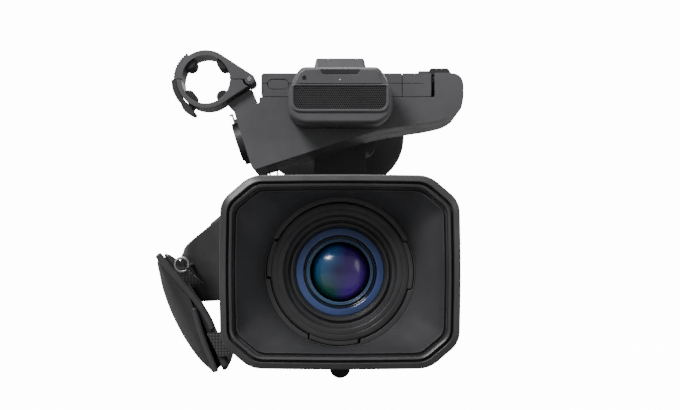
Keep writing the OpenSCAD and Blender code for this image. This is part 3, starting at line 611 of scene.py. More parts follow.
def painted_lens_reflection(name, painted_right_reflection, painted_left_reflection, dark, rough=0.03, coat=0.2):
    """Coated glass: painted reflections of the coating in broad patches, lighter on the -X side than on the
    +X side, deepening towards the rim.
    """
    n = Nodes(name)
    split = n.add("ShaderNodeSeparateXYZ")
    n.link(n.place, split.inputs["Vector"])
    wave = n.noise(38, 2)
    across = n.combine(n.combine(split.outputs["X"], 22, "MULTIPLY"), wave)
    # Painted reflection: the coating colour runs from the lighter colour at -X to the darker colour at +X.
    tint = n.shade(across, painted_left_reflection, painted_right_reflection, 0.25, 0.85)
    facing = n.add("ShaderNodeLayerWeight")
    facing.inputs["Blend"].default_value = 0.3
    deep = n.shade(wave, dark, scaled(dark, 1.6))
    # Painted reflection: mixed between the deep colour and the coating colour by how squarely the glass faces
    # the viewer.
    n.colour(n.mix(n.spread(facing.outputs["Facing"], 0.1, 0.9, 0.05, 0.6), deep, tint))
    n.roughness(n.spread(n.noise(30, 2), rough, rough + 0.03))
    return n.set(Specular_IOR_Level=0.3, Coat_Weight=coat, Coat_Roughness=0.25)


# The three coated rims below carry painted coating reflections, lighter on their left side.
ring_blue = painted_lens_reflection("front_element_painted_reflection", (0.045, 0.070, 0.19), (0.13, 0.19, 0.33),
                         (0.03, 0.05, 0.14), 0.1)
rim_profile = [(22, 28.3), (9.2, 28.3), (8.9, 28.15), (8.7, 27.8), (8.2, 25.6), (8.15, 24.4), (8.5, 23.8)]
new_piece("front_element_rim", *lathe([(RING_Y + d, r) for d, r in rim_profile], (0, L), 224),
          "camcorder", "lens_glass", ring_blue)

deep_blue = painted_lens_reflection("inner_barrel_painted_reflection", (0.010, 0.012, 0.03), (0.02, 0.035, 0.06),
                         (0.004, 0.006, 0.014), 0.12)
well_profile = [(8.5, 23.9), (11.0, 23.4), (11.6, 22.6), (11.2, 22.2), (11.6, 21.9)]
new_piece("front_element_well", *lathe([(RING_Y + d, r) for d, r in well_profile], (0, L), 200),
          "camcorder", "lens_glass", deep_blue)
lip_blue = painted_lens_reflection("second_element_painted_reflection", (0.05, 0.07, 0.16), (0.13, 0.24, 0.36),
                        (0.03, 0.06, 0.11), 0.3)
lip_profile = [(12.4, 21.9), (10.9, 21.7), (10.4, 21.2), (10.4, 20.9), (11.0, 20.6), (10.6, 20.3),
               (10.5, 19.9), (11.2, 19.5), (12.6, 19.4)]
new_piece("second_element_rim", *lathe([(RING_Y + d, r) for d, r in lip_profile], (0, L), 200),
          "camcorder", "lens_glass", lip_blue)


def dome_profile(y_front, radius, bulge, steps=22):
    """A spherical cap from its rim to its tip, as (y, r)."""
    big = (radius * radius + bulge * bulge) / (2 * bulge)
    most = math.asin(radius / big)
    return [(y_front + big - big * math.cos(most * (1 - k / steps)),
             max(big * math.sin(most * (1 - k / steps)), 0.004)) for k in range(steps + 1)]


def inner_glass_painted_reflections():
    """The inner element: painted coating reflections, green to blue on one side, violet on the other, dark in
    the middle.
    """
    n = Nodes("inner_element_painted_reflections")
    centre = n.add("ShaderNodeVectorMath", operation="SUBTRACT")
    n.link(n.place, centre.inputs[0])
    centre.inputs[1].default_value = (0, 0, AXIS_Z)
    split = n.add("ShaderNodeSeparateXYZ")
    n.link(centre.outputs["Vector"], split.inputs["Vector"])
    haze = n.combine(n.noise(60, 3), 0.006, "MULTIPLY")
    across = n.combine(split.outputs["X"], haze)
    up = n.combine(split.outputs["Z"], haze)
    # Painted reflections: green at the bottom to blue at the top on the -X side, violet on the +X side.
    left = n.shade(up, (0.006, 0.07, 0.055), (0.03, 0.15, 0.42), -0.006, 0.012)
    right = n.shade(up, (0.075, 0.012, 0.30), (0.04, 0.010, 0.17), -0.012, 0.012)
    tint = n.mix(n.spread(across, 0, 1, -0.0015, 0.0075), left, right)
    flat = n.add("ShaderNodeVectorMath", operation="LENGTH")
    plane = n.add("ShaderNodeVectorMath", operation="MULTIPLY")
    n.link(centre.outputs["Vector"], plane.inputs[0])
    plane.inputs[1].default_value = (1, 0, 1)
    n.link(plane.outputs["Vector"], flat.inputs[0])
    radius = flat.outputs["Value"]
    # Painted reflection: dark in the middle of the element and dark again at its rim.
    deep = n.shade(across, (0.012, 0.022, 0.075), (0.03, 0.01, 0.11), -0.005, 0.008)
    core = n.mix(n.spread(radius, 0, 1, 0.002, 0.012), deep, tint)
    rim = n.shade(haze, (0.003, 0.004, 0.010), (0.006, 0.008, 0.016), 0.0, 0.01)
    n.colour(n.mix(n.spread(radius, 0, 1, 0.0148, 0.0185), core, rim))
    n.roughness(n.spread(n.noise(30, 2), 0.16, 0.24))
    return n.set(Specular_IOR_Level=0.4, Coat_Weight=1.0, Coat_Roughness=0.17)


new_piece("inner_element", *lathe(dome_profile(RING_Y + 11.4, 19.45, 6.4), (0, L), 128), "camcorder",
          "lens_glass", inner_glass_painted_reflections(), ["front_element"])


# ------------------------------------------------------------------ microphone unit

mic_low, mic_high = mm_box("mic_housing")
MIC_Y, MIC_BACK = mic_low.y, mic_high.y
MIC_HW = (mic_high.x - mic_low.x) / 2 + 0.9
MIC_TOP = mic_high.z
MIC_BOTTOM = mic_low.z


def mic_ring(y, inset):
    """The microphone unit's outline at y, drawn in from its full size."""
    k, low, high = inset, MIC_BOTTOM + inset, MIC_TOP - inset
    hw = MIC_HW - inset
    r = 4.8 - inset * 0.6
    return [(x, y, z) for x, z in rounded(
        [(-25.5 + k * 0.4, low), (25.5 - k * 0.4, low), (hw - 1.5, MIC_BOTTOM + 6 + k * 0.5),
         (hw, MIC_BOTTOM + 15.5), (29.8 - k, MIC_TOP - 7 - k * 0.3), (25 - k * 0.5, high),
         (-25 + k * 0.5, high), (-29.8 + k, MIC_TOP - 7 - k * 0.3), (-hw, MIC_BOTTOM + 15.5),
         (1.5 - hw, MIC_BOTTOM + 6 + k * 0.5)], [r, r, 3.6, 5, 3.4, 3.2, 3.2, 3.4, 5, 3.6], 8)]


shell = MATERIALS["grey_shell"]
mic_rings = [mic_ring(MIC_BACK, 0)]
for k in range(7):
    a = math.pi / 2 * k / 6
    mic_rings.append(mic_ring(MIC_Y + 0.9 + 4.5 * (1 - math.sin(a)), 2.7 * (1 - math.cos(a))))
new_piece("mic_shell", *loft(mic_rings), "camcorder", "grey_shell", shell, ["mic_housing"])

GRILLE = (-29.6, L + 104.4, 29.6, L + 119.3)


def box_outline(x0, z0, x1, z1, radii, steps=6):
    return rounded([(x0, z0), (x1, z0), (x1, z1), (x0, z1)], radii, steps)


def raised_frame(outer, inner, y_back, y_front, soft=0.35):
    """A frame between two outlines with the same number of points, its edges rounded."""
    return loft([[(x, y_back, z) for x, z in outer], [(x, y_front + soft, z) for x, z in outer],
                 [(x + (a - x) * 0.25, y_front, z + (b - z) * 0.25)
                  for (x, z), (a, b) in zip(outer, inner)],
                 [(x + (a - x) * 0.75, y_front, z + (b - z) * 0.75)
                  for (x, z), (a, b) in zip(outer, inner)],
                 [(x, y_front + soft, z) for x, z in inner], [(x, y_back, z) for x, z in inner]],
                False, False, True)


x0, z0, x1, z1 = GRILLE
new_piece("mic_frame", *raised_frame(
    box_outline(x0 - 1.9, z0 - 1.9, x1 + 1.9, z1 + 0.9, [6.5, 6.5, 1.6, 1.6]),
    box_outline(x0, z0, x1, z1, [5, 5, 1, 1]), MIC_Y + 1.6, MIC_Y - 0.5, 0.4), "camcorder",
    "grey_shell", shell)

# The front plate over the grille, its top edge stepped down in the middle, as a blank badge seat
plate = rounded([(-27.2, z1 + 1.4), (27.2, z1 + 1.4), (24.2, MIC_TOP - 2.6), (13.6, MIC_TOP - 2.2),
                 (11.6, MIC_TOP - 5.6), (-11.6, MIC_TOP - 5.6), (-13.6, MIC_TOP - 2.2),
                 (-24.2, MIC_TOP - 2.6)], [0.8, 0.8, 3, 0.8, 0.8, 0.8, 0.8, 3], 5)
new_piece("mic_front_plate", *prism(plate, MIC_Y + 1.5, MIC_Y + 0.3), "camcorder", "grey_shell", shell,
          (), 0.25)
badge = rounded([(-12.9, MIC_TOP - 2.0), (-11.0, MIC_TOP - 5.0), (11.0, MIC_TOP - 5.0),
                 (12.9, MIC_TOP - 2.0)], 0.6, 4)
new_piece("mic_badge_seat", *prism(badge, MIC_Y + 1.5, MIC_Y + 0.62), "camcorder", "gloss_black",
          MATERIALS["gloss_black"], (), 0.12)
window = box_outline(-24.2, L + 123.2, -21.6, L + 125.8, 0.4, 3)
new_piece("mic_sensor_window", *prism(window, MIC_Y + 1, MIC_Y + 0.12), "camcorder", "screen_glass",
          MATERIALS["screen_glass"], (), 0.08)
new_piece("mic_tally_lamp", *domed(circle_outline(0.5, 20), MIC_Y + 1, MIC_Y + 0.05, 0.25, 0, 3),
          "camcorder", "steel", MATERIALS["aluminium"])
tally = bpy.data.objects["mic_tally_lamp"]
for v in tally.data.vertices:
    v.co.z += 0.1232


def honeycomb(x0, z0, x1, z1, y, thick, pitch=1.31, hole=0.52):
    """A perforated sheet of six-sided holes in closed rows."""
    parts = []
    corner = pitch / math.sqrt(3)
    row_step = pitch * math.sqrt(3) / 2
    rows = int((z1 - z0) / row_step) + 2
    columns = int((x1 - x0) / pitch) + 2
    for row in range(rows):
        for column in range(columns):
            cx = (x0 + x1) / 2 + (column - (columns - 1) / 2 + (row % 2) / 2 - 0.25) * pitch
            cz = z0 + row * row_step
            outer = [(cx + corner * math.sin(math.tau * k / 6), cz + corner * math.cos(math.tau * k / 6))
                     for k in range(6)]
            inner = [(cx + hole * math.sin(math.tau * k / 6), cz + hole * math.cos(math.tau * k / 6))
                     for k in range(6)]
            parts.append(loft([[(x, y, z) for x, z in outer], [(x, y, z) for x, z in inner],
                               [(x, y + thick, z) for x, z in inner]], False, False))
    return joined(parts)


new_piece("mic_mesh", *honeycomb(x0 + 0.6, z0 + 0.6, x1 - 0.6, z1 - 0.3, MIC_Y + 0.25, 0.5), "camcorder",
          "black_shell", moulded("grille_paint", (0.045, 0.045, 0.047), 0.36, 2200, 0.00001),
          ["mic_grille"], 0, False)
foam = soft_rubber("foam_backing", (0.006, 0.006, 0.006), 0.95)
new_piece("mic_foam", *prism(box_outline(x0 - 0.4, z0 - 0.4, x1 + 0.4, z1 + 0.4, 3), MIC_Y + 1.7,
                             MIC_Y + 0.7), "camcorder", "rubber", foam, (), 0)
for side in (-1, 1):
    ring = lathe([(MIC_Y + 1.2, 5.6), (MIC_Y + 0.62, 5.6), (MIC_Y + 0.60, 4.4), (MIC_Y + 0.66, 4.0),
                  (MIC_Y + 0.66, 0.005)], (side * 11, L + 112), 48)
    new_piece("mic_capsule_face_%s" % ("left" if side > 0 else "right"), *ring, "camcorder",
              "gloss_black", soft_rubber("capsule_black", (0.002, 0.002, 0.002), 0.9))


# ------------------------------------------------------------------ hand belt

pad_low, pad_high = mm_box("grip_belt_pad")
BELT_FRONT, BELT_BACK = pad_low.y, pad_high.y


def spline(points, u):
    """A point on a smooth curve through the points, u from 0 to 1."""
    spans = len(points) - 1
    at = min(max(u, 0), 1) * spans
    i = min(int(at), spans - 1)
    t = at - i
    p = [Vector(points[min(max(k, 0), spans)]) for k in (i - 1, i, i + 1, i + 2)]
    return 0.5 * ((2 * p[1]) + (p[2] - p[0]) * t + (2 * p[0] - 5 * p[1] + 4 * p[2] - p[3]) * t * t
                  + (3 * p[1] - p[0] - 3 * p[2] + p[3]) * t ** 3)


def belt_skin(front, bulge, back, thick, y_front, y_back, roll, spans=44, across=30):
    """A padded strap: its path at the front, where it stands out most, and at the back."""
    def place(u, v):
        a, b, c = spline(front, u), spline(bulge, u), spline(back, u)
        base = a.lerp(c, v)
        return base + (b - a.lerp(c, 0.35)) * math.sin(math.pi * v ** 0.66)

    rings = []
    for i in range(spans + 1):
        u = i / spans
        along = (place(min(u + 0.01, 1), 0.4) - place(max(u - 0.01, 0), 0.4)).normalized()
        out = Vector((along.y, -along.x))
        if out.x > 0:
            out = -out
        end = min(1, math.sqrt(max(0, 1 - ((abs(u - 0.5) * 2 - 0.94) / 0.06) ** 2))
                  if abs(u - 0.5) * 2 > 0.94 else 1)
        end = max(end, 0.12)
        loop = []
        for side in (1, -1):
            for k in range(across + 1):
                v = k / across if side > 0 else 1 - k / across
                p = place(u, v)
                fall = min(v, 1 - v) * (y_back - y_front)
                edge = math.sqrt(max(0.0, 1 - (1 - min(fall / roll, 1)) ** 2))
                puff = 1 + 0.35 * (1 - abs(2 * v - 1)) ** 0.8 if side > 0 else 1
                t = thick / 2 * edge * end * puff * side
                if k in (0, across) and side < 0:
                    continue
                q = p + out * t
                corner = max(0.0, abs(u - 0.5) * 2 - 0.8) / 0.2
                y_end = y_back - 16 * (1 - math.sqrt(1 - min(1, corner) ** 2))
                loop.append((q.x, y_front + v * (y_end - y_front), L + q.y))
        rings.append(loop)
    return loft(rings)


belt_leather = grained_leather("belt_leather", (0.032, 0.032, 0.033))
padding = grained_leather("belt_lining", (0.038, 0.038, 0.040))
pad_piece = new_piece(
    "belt_inner_pad",
    *belt_skin([(-119.5, 13), (-108.8, 0), (-100.5, -12), (-93, -25), (-86.5, -38.5),
                (-81.5, -52), (-78.3, -66.5)],
               [(-119.5, 10), (-115.5, -5), (-110, -20), (-103, -34), (-95, -48), (-87, -60), (-80, -68)],
               [(-122, 8), (-120, -3), (-114, -15), (-107, -29), (-99.5, -43.5), (-93, -57), (-84, -67)],
               4.6, BELT_FRONT - 1, BELT_BACK, 2.6), "camcorder", "black_leather", padding,
    ["grip_belt_pad"])
flap_piece = new_piece(
    "belt_outer_flap",
    *belt_skin([(-122.3, 12.2), (-113.3, -3), (-104.5, -15), (-99, -28), (-94.3, -41),
                (-89.5, -55), (-84, -67.8)],
               [(-126.3, 5), (-123.8, -10), (-119, -24), (-112.5, -38), (-104.8, -51),
                (-96.3, -62), (-87.2, -69.3)],
               [(-124, 3), (-121.5, -10), (-117, -24), (-110, -38), (-103, -52), (-97, -61), (-88, -69)],
               4.4, BELT_FRONT + 0.5, BELT_BACK - 34, 2.6), "camcorder", "black_leather", belt_leather,
    ["grip_belt_flap"])


def tube(path, radius, steps=16, samples=60, flatten=1.0):
    """A round cord through the points of a path."""
    rings = []
    for i in range(samples + 1):
        u = i / samples
        p = spline(path, u)
        along = (spline(path, min(u + 0.01, 1)) - spline(path, max(u - 0.01, 0))).normalized()
        side = along.cross(Vector((0, 1, 0.01))).normalized()
        up = side.cross(along).normalized()
        near = min(u, 1 - u) * samples / 3
        r = radius * (math.sqrt(max(0.0, 1 - (1 - near) ** 2)) if near < 1 else 1)
        r = max(r, radius * 0.08)
        rings.append([tuple(p + side * r * math.cos(math.tau * k / steps)
                            + up * r * flatten * math.sin(math.tau * k / steps)) for k in range(steps)])
    return loft(rings)


# Rolled piping down the belt's front edge, the fold behind it and the hem of the flap
# The piping and hem leather is a lighter copy of the belt leather: its lower roughness is real gloss, its
# lighter colour is a painted highlight along the rolled edges.
piping_gloss_painted_highlight = grained_leather("belt_piping_painted_highlight_leather", (0.050, 0.050, 0.053), 0.16)
piping = [(x, BELT_FRONT - 1.2, L + z) for x, z in
          [(-124.9, 12.2), (-121.4, 8.0), (-116.8, 2.4), (-108.3, -7.4), (-100.4, -16.6),
           (-93.4, -26.4), (-88.6, -35.2), (-87.2, -39.6)]]
new_piece("belt_piping", *tube(piping, 2.45), "camcorder", "black_leather", piping_gloss_painted_highlight)
fold = [(x, BELT_FRONT + 0.6, L + z) for x, z in [(-121, 9), (-119.3, 6.6), (-117.2, 3.8), (-114.5, 0.5)]]
new_piece("belt_fold", *tube(fold, 2.4), "camcorder", "black_leather", belt_leather)
pad_lobe = [(x, BELT_FRONT + 2, L + z) for x, z in [(-86, -44), (-83.2, -51.5), (-80.6, -58.5), (-78.4, -65)]]
pad_edge = new_piece("belt_pad_edge", *tube(pad_lobe, 3.0), "camcorder", "black_leather", padding)
hem = [(x, BELT_FRONT + 0.2, L + z) for x, z in
       [(-100.4, -24.5), (-98.2, -31), (-94.8, -42.5), (-90.6, -54), (-87.2, -62.5), (-85, -68.6)]]
new_piece("belt_hem", *tube(hem, 2.1), "camcorder", "black_leather", piping_gloss_painted_highlight)


def strap(front, back, y_front, thick=1.4, spans=28):
    """A flat woven strap between two edges, each given as (x, z, how far behind y_front)."""
    def at(points, u):
        p = spline(points, min(max(u, 0), 1))
        return Vector((p.x, y_front + p.z, L + p.y))

    bow = Vector((0, 0.5, 0))
    rings = []
    for i in range(spans + 1):
        u = i / spans
        a, b = at(front, u), at(back, u)
        along = at(front, u + 0.02) + at(back, u + 0.02) - at(front, u - 0.02) - at(back, u - 0.02)
        out = along.cross(b - a).normalized() * thick / 2
        mid = (a + b) / 2 - bow
        rings.append([tuple(p) for p in (a - out, mid - out, b - out, b + out, mid + out, a + out)])
    return loft(rings)


webbing = woven("belt_webbing", (0.075, 0.075, 0.078), 0.0011)
# It runs behind the hood's corner, then turns back and is sewn to the underside of the grip.
lower_web = new_piece("belt_webbing_lower", *strap(
    [(-91, -41.8, 0), (-80, -40.6, 0), (-70, -39.2, 3), (-63, -36, 12), (-60, -30.8, 21.5)],
    [(-83, -57.5, 0), (-75, -57, 0), (-67, -53, 5), (-58.5, -44, 19), (-54, -33.4, 33)],
    BELT_FRONT - 2.7), "camcorder", "black_fabric", webbing, ["grip_belt_webbing"], 0.2)


def flat_band(path, y_front, y_back, thick=1.4, spans=24):
    """A webbing band whose width lies along Y and whose path runs in X and Z."""
    rings = []
    for i in range(spans + 1):
        u = i / spans
        p = spline(path, u)
        along = (spline(path, min(u + 0.01, 1)) - spline(path, max(u - 0.01, 0))).normalized()
        out = Vector((along.y, -along.x)) * thick / 2
        rings.append([(p.x + out.x, y_front, L + p.y + out.y), (p.x + out.x, y_back, L + p.y + out.y),
                      (p.x - out.x, y_back, L + p.y - out.y), (p.x - out.x, y_front, L + p.y - out.y)])
    return loft(rings)


rear_web = new_piece("belt_webbing_rear", *flat_band(
    [(-99, -46), (-94, -51), (-80, -50.5), (-64, -48), (-47.5, -47)], BELT_BACK - 46, BELT_BACK - 16),
    "camcorder", "black_fabric", webbing, (), 0.2)
upper_web = new_piece("belt_webbing_upper", *flat_band(
    [(-119, 1), (-119.6, 8), (-117.5, 14.5), (-113, 17), (-106, 17.5)], BELT_BACK - 45, BELT_BACK - 20),
    "camcorder", "black_fabric", webbing, (), 0.2)


TAB_THICK = 1.3


def ring_tab(spans=12):
    """The webbing that comes up from behind the belt and folds through the front strap ring.

    It widens from the ring's opening to 10 mm where it goes under the belt.
    """
    left = [(-110.6, 3.4), (-109.4, -0.8), (-106.4, -6.2), (-103, -11.2)]
    right = [(-103.9, 3.4), (-101.6, -0.2), (-97.6, -4.2), (-93.7, -7.6)]
    rings = []
    for i in range(spans + 1):
        u = i / spans
        a, b = spline(left, u), spline(right, u)
        y = ring_front - 0.9 + (BELT_FRONT + 3 - ring_front) * u ** 1.4
        rings.append([(a.x, y, L + a.y), (b.x, y, L + b.y), (b.x, y + TAB_THICK, L + b.y),
                      (a.x, y + TAB_THICK, L + a.y)])
    return loft(rings)


ring_front = mm_box("strap_rings")[0].y
tab_piece = new_piece("strap_ring_tab", *ring_tab(), "camcorder", "black_fabric", webbing, (), 0.2)


# ------------------------------------------------------------------ eyecup and viewfinder details

evf_low, evf_high = mm_box("evf_housing")
EVF_Z = (evf_low.z + evf_high.z) / 2
EVF_HH = (evf_high.z - evf_low.z) / 2
EVF_END = evf_high.y


def eyecup_ring(y, grow, steps=72):
    ring = []
    for k in range(steps):
        a = math.tau * k / steps
        c, s = math.cos(a), math.sin(a)
        wide = 30 + grow * (39 if c < 0 else 27)
        tall = EVF_HH + grow * (23 if s < 0 else 4)
        p = 2.3
        ring.append((math.copysign(abs(c) ** (2 / p), c) * wide, y,
                     EVF_Z + math.copysign(abs(s) ** (2 / p), s) * tall))
    return ring


soft = MATERIALS["rubber"]
cup = [eyecup_ring(EVF_END + 1.2, -0.15), eyecup_ring(EVF_END + 0.2, -0.02), eyecup_ring(EVF_END + 1.2, 0.03)]
for k in range(4):
    y = EVF_END + 2.4 + 3.1 * k
    cup += [eyecup_ring(y, 0.035 + 0.03 * k), eyecup_ring(y + 1.1, 0.035 + 0.03 * k),
            eyecup_ring(y + 1.5, 0.0 + 0.03 * k), eyecup_ring(y + 2.7, 0.0 + 0.03 * k)]
for y, grow in ((16, 0.45), (20, 0.64), (25, 0.81), (30, 0.91), (35, 0.975), (37.2, 0.992), (38.1, 0.985),
                (38.1, 0.965), (37.2, 0.95), (34, 0.91), (28, 0.76), (22, 0.56), (17, 0.30), (13, 0.05),
                (10, -0.12), (9, -0.30), (9.2, -0.42), (3, -0.42)):
    cup.append(eyecup_ring(EVF_END + y, grow))
new_piece("eyecup_rubber", *loft(cup, False, False), "viewfinder", "rubber", soft, ["evf_eyecup"], 0,
          True, 1)
eye_barrel = [(EVF_END - 8, 16.9), (EVF_END + 6, 16.9), (EVF_END + 6.6, 16.4), (EVF_END + 6.6, 15.2)]
for k in range(5):
    eye_barrel += [(EVF_END + 5.2 - 1.6 * k, 14.9 - 0.3 * k), (EVF_END + 4.4 - 1.6 * k, 14.3 - 0.3 * k)]
new_piece("eyepiece_barrel", *lathe(eye_barrel, (0, EVF_Z), 96), "viewfinder", "black_shell",
          MATERIALS["black_shell"])

# ------------------------------------------------------------------ small parts for the body's faces

LEFT, RIGHT, REAR, UP = (1, 0, 0), (-1, 0, 0), (0, 1, 0), (0, 0, 1)
SIDE_X = mm_box("body_left_cover")[1].x
REAR_Y = mm_box("rear_panel")[1].y
DECK_Z = mm_box("body_top_cover")[1].z


def on_face(part, place, out, spin=0.0):
    up = (0, 1, 0) if abs(out[2]) > 0.9 else (0, 0, 1)
    return turned(part, face_frame(place, out, up) @ Matrix.Rotation(math.radians(spin), 4, "Y"))


def disc_outline(r, steps=40):
    return [(r * math.cos(math.tau * k / steps), r * math.sin(math.tau * k / steps)) for k in range(steps)]


def cap(r, height, edge=0.5, dish=0.0):
    """A round key with a rounded rim and a dished or domed face."""
    return domed(disc_outline(r), 0.5, -height, edge, dish)


def plate_part(width, height, thick, corner, edge=0.3):
    return domed(box_outline(-width / 2, -height / 2, width / 2, height / 2, corner), 0.4, -thick, edge)


def screw_part(r, height=0.7):
    """A cross-head screw: a domed head with a cross cut into it."""
    def cross(size):
        points = []
        for k in range(48):
            a = math.tau * k / 48
            c, s = abs(math.cos(a)), abs(math.sin(a))
            reach = min(size / max(c, s), 0.26 * size / max(min(c, s), 0.02))
            points.append((reach * math.cos(a), reach * math.sin(a)))
        return points
    rim, inner = disc_outline(r, 48), disc_outline(r * 0.85, 48)
    return loft([[(x, 0.4, z) for x, z in rim], [(x, -height * 0.6, z) for x, z in rim],
                 [(x, -height, z) for x, z in inner], [(x, -height, z) for x, z in cross(r * 0.62)],
                 [(x, -height * 0.1, z) for x, z in cross(r * 0.5)]], False, True)


def slot_part(width, height, rim=0.8, deep=0.45):
    """A rim round a sunken slot."""
    outer = box_outline(-width / 2 - rim, -height / 2 - rim, width / 2 + rim, height / 2 + rim,
                        min(width, height) / 2 + rim * 0.9)
    inner = box_outline(-width / 2, -height / 2, width / 2, height / 2, min(width, height) / 2 * 0.95)
    return loft([[(x, 0.3, z) for x, z in outer], [(x, -0.5, z) for x, z in outer],
                 [(x + (a - x) * 0.3, -0.75, z + (b - z) * 0.3) for (x, z), (a, b) in zip(outer, inner)],
                 [(x + (a - x) * 0.8, -0.75, z + (b - z) * 0.8) for (x, z), (a, b) in zip(outer, inner)],
                 [(x, -0.6, z) for x, z in inner], [(x, -0.75 + deep + 0.25, z) for x, z in inner]],
                False, True)


def knob_part(r, height, ribs=28):
    """A small knurled knob with a line across its face."""
    outline = [((r - 0.22 * (k % 2)) * math.cos(math.pi * k / ribs),
                (r - 0.22 * (k % 2)) * math.sin(math.pi * k / ribs)) for k in range(2 * ribs)]
    pointer = prism(box_outline(-0.3, 0.2, 0.3, r * 0.85, 0.1, 2), -height + 0.2, -height - 0.25)
    return joined([domed(outline, 0.4, -height, 0.5), pointer])


def spread_on(parts, out):
    """Several small parts at their places on one face, as one mesh."""
    return joined([on_face(part, place, out, *spin) for part, place, *spin in parts])


def fitted(name, out, slot, parts, body="camcorder", edge_mm=0.0, smooth_it=True):
    """Small parts on one face of a body, as one piece in its slot's own material."""
    return new_piece(name, *spread_on(parts, out), body, slot, MATERIALS[slot], (), edge_mm, smooth_it)


rubber, steel, satin = MATERIALS["rubber"], MATERIALS["steel"], MATERIALS["gloss_black"]


def side(y, z):
    return (SIDE_X, y, L + z)


fitted("left_panels", LEFT, "grey_shell",
    [(plate_part(92, 21, 0.7, 3), side(-39, 3)), (plate_part(54, 33, 0.8, 3.5), side(8, -33)),
     (plate_part(27, 52, 0.7, 3), side(90, -23))])
fitted("left_switch_slots", LEFT, "black_shell",
    [(slot_part(11, 3.4), (SIDE_X + 0.5, y, L + 4)) for y in (-72, -53, -34)]
    + [(slot_part(3.4, 9), (SIDE_X + 0.5, y, L - 39)) for y in (84, 96)]
    + [(slot_part(12, 2.2), (SIDE_X + 0.6, 8, L - 44))])
fitted("left_switch_levers", LEFT, "rubber",
    [(plate_part(4, 3, 2.2, 0.6, 0.5), (SIDE_X + 0.4, y, L + 4)) for y in (-74, -53, -32)]
    + [(plate_part(3, 3.6, 2.0, 0.6, 0.5), (SIDE_X + 0.4, y, L - z)) for y, z in ((84, 37), (96, 41))])
fitted("left_keys", LEFT, "rubber",
    [(cap(3.1, 1.2, 0.5, -0.3), side(y, 26)) for y in (-22, -8, 6)]
    + [(cap(2.6, 1.7, 0.5, -0.2), (SIDE_X + 0.3, y, L + 3)) for y in (-14, -4)]
    + [(plate_part(9, 4, 1.2, 1.6, 0.5), side(62, z)) for z in (2, -30)]
    + [(plate_part(4, 9, 1.2, 1.6, 0.5), side(y, -14)) for y in (46, 76.2)])
fitted("left_level_knobs", LEFT, "gloss_black",
    [(knob_part(4.6, 3.6), (SIDE_X + 0.4, y, L - z))
     for y, z in ((84, 6), (96, 6), (84, 22), (96, 22))], edge_mm=0.12)
fitted("left_vents", LEFT, "black_shell",
    [(slot_part(1.5, 22, 0.5), side(-82 + 4.4 * k, -33)) for k in range(14)])
fitted("left_screws", LEFT, "steel",
    [(screw_part(2.1), side(y, z)) for y, z in ((-86, 38), (100, 38), (-87, -46), (30, 8), (70, -48))])
speaker = honeycomb(-11, -6, 11, 6, -0.4, 0.35, 2.3, 0.75)
fitted("speaker_grille", LEFT, "black_shell", [(speaker, side(80, 32))], smooth_it=False)
new_piece("speaker_frame", *on_face(raised_frame(
    box_outline(-14, -8.6, 14, 8.6, 3), box_outline(-11.2, -6, 11.2, 6, 1.5), 0.4, -0.8), side(80, 32), LEFT),
    "camcorder", "grey_shell", shell)


def far_side(y, z):
    return (-SIDE_X, y, L + z)


fitted("right_panels", RIGHT, "grey_shell",
    [(plate_part(44, 62, 0.8, 4), far_side(78, -8)), (plate_part(80, 13, 0.6, 3), far_side(-45, -46))])
fitted("right_card_slot", RIGHT, "black_shell", [(slot_part(3, 26), (-SIDE_X - 0.6, 60.5, L - 8))])
fitted("right_keys", RIGHT, "rubber",
    [(plate_part(7, 12, 1.3, 1.5, 0.5), (-SIDE_X - 0.4, 92, L + z)) for z in (12, -4)]
    + [(cap(2.4, 1.2, 0.4, -0.2), (-SIDE_X - 0.4, 78, L + 14))])
fitted("right_vents", RIGHT, "black_shell",
    [(slot_part(1.5, 7, 0.5), far_side(-80 + 4.6 * k, -46)) for k in range(15)])
fitted("right_screws", RIGHT, "steel",
    [(screw_part(2.1), far_side(y, z)) for y, z in ((101, 34), (56, 34), (101, -47), (30, -47))])


def rear(x, z):
    return (x, REAR_Y, L + z)


def jack_part(r, hole, height=0.9):
    """A round socket with a raised rim."""
    return loft([[(x, 0.3, z) for x, z in disc_outline(r)],
                 [(x, -height + 0.2, z) for x, z in disc_outline(r)],
                 [(x, -height, z) for x, z in disc_outline(r - 0.3)],
                 [(x, -height, z) for x, z in disc_outline(hole + 0.3)],
                 [(x, -height + 0.3, z) for x, z in disc_outline(hole)],
                 [(x, 0.2, z) for x, z in disc_outline(hole)]], False, True)


bayonets = []
for z in (34, 18):
    barrel = [(1.5, 4.8), (0.3, 4.8), (0.2, 4.6), (-0.2, 4.4), (-0.2, 3.6), (-6.6, 3.55),
              (-7.0, 3.3), (-7.0, 2.8), (-6.6, 2.65), (0.8, 2.6), (0.8, 0.5), (-4.6, 0.5), (-4.9, 0.3)]
    bayonets.append((lathe(barrel, (0, 0), 48, False, True), (-37, REAR_Y - 0.3, L + z)))
    bayonets.append((domed(box_outline(-4.4, -0.5, 4.4, 0.5, 0.3, 2), -4.2, -5.2, 0.2),
                     (-37, REAR_Y - 0.3, L + z)))
fitted("rear_video_sockets", REAR, "steel", bayonets, edge_mm=0.08)
fitted("rear_jacks", REAR, "gloss_black",
    [(jack_part(4.6, 1.9), rear(-37, -4)), (jack_part(4.6, 1.9), rear(-37, -18)),
     (jack_part(5.2, 2.8), rear(-37, -34)), (slot_part(13, 4), rear(34, 12))])
fitted("rear_doors", REAR, "grey_shell",
    [(plate_part(20, 34, 0.8, 2.5), rear(35, -25)), (plate_part(56, 14, 0.7, 3), rear(0, 43.5))])
fitted("rear_keys", REAR, "rubber",
    [(plate_part(8, 4.4, 1.1, 1.2, 0.4), (x, REAR_Y + 0.4, L + 43.5)) for x in (-18, -6, 6, 18)]
    + [(plate_part(10, 2, 1.2, 0.8, 0.4), (35, REAR_Y + 0.5, L - 38))])
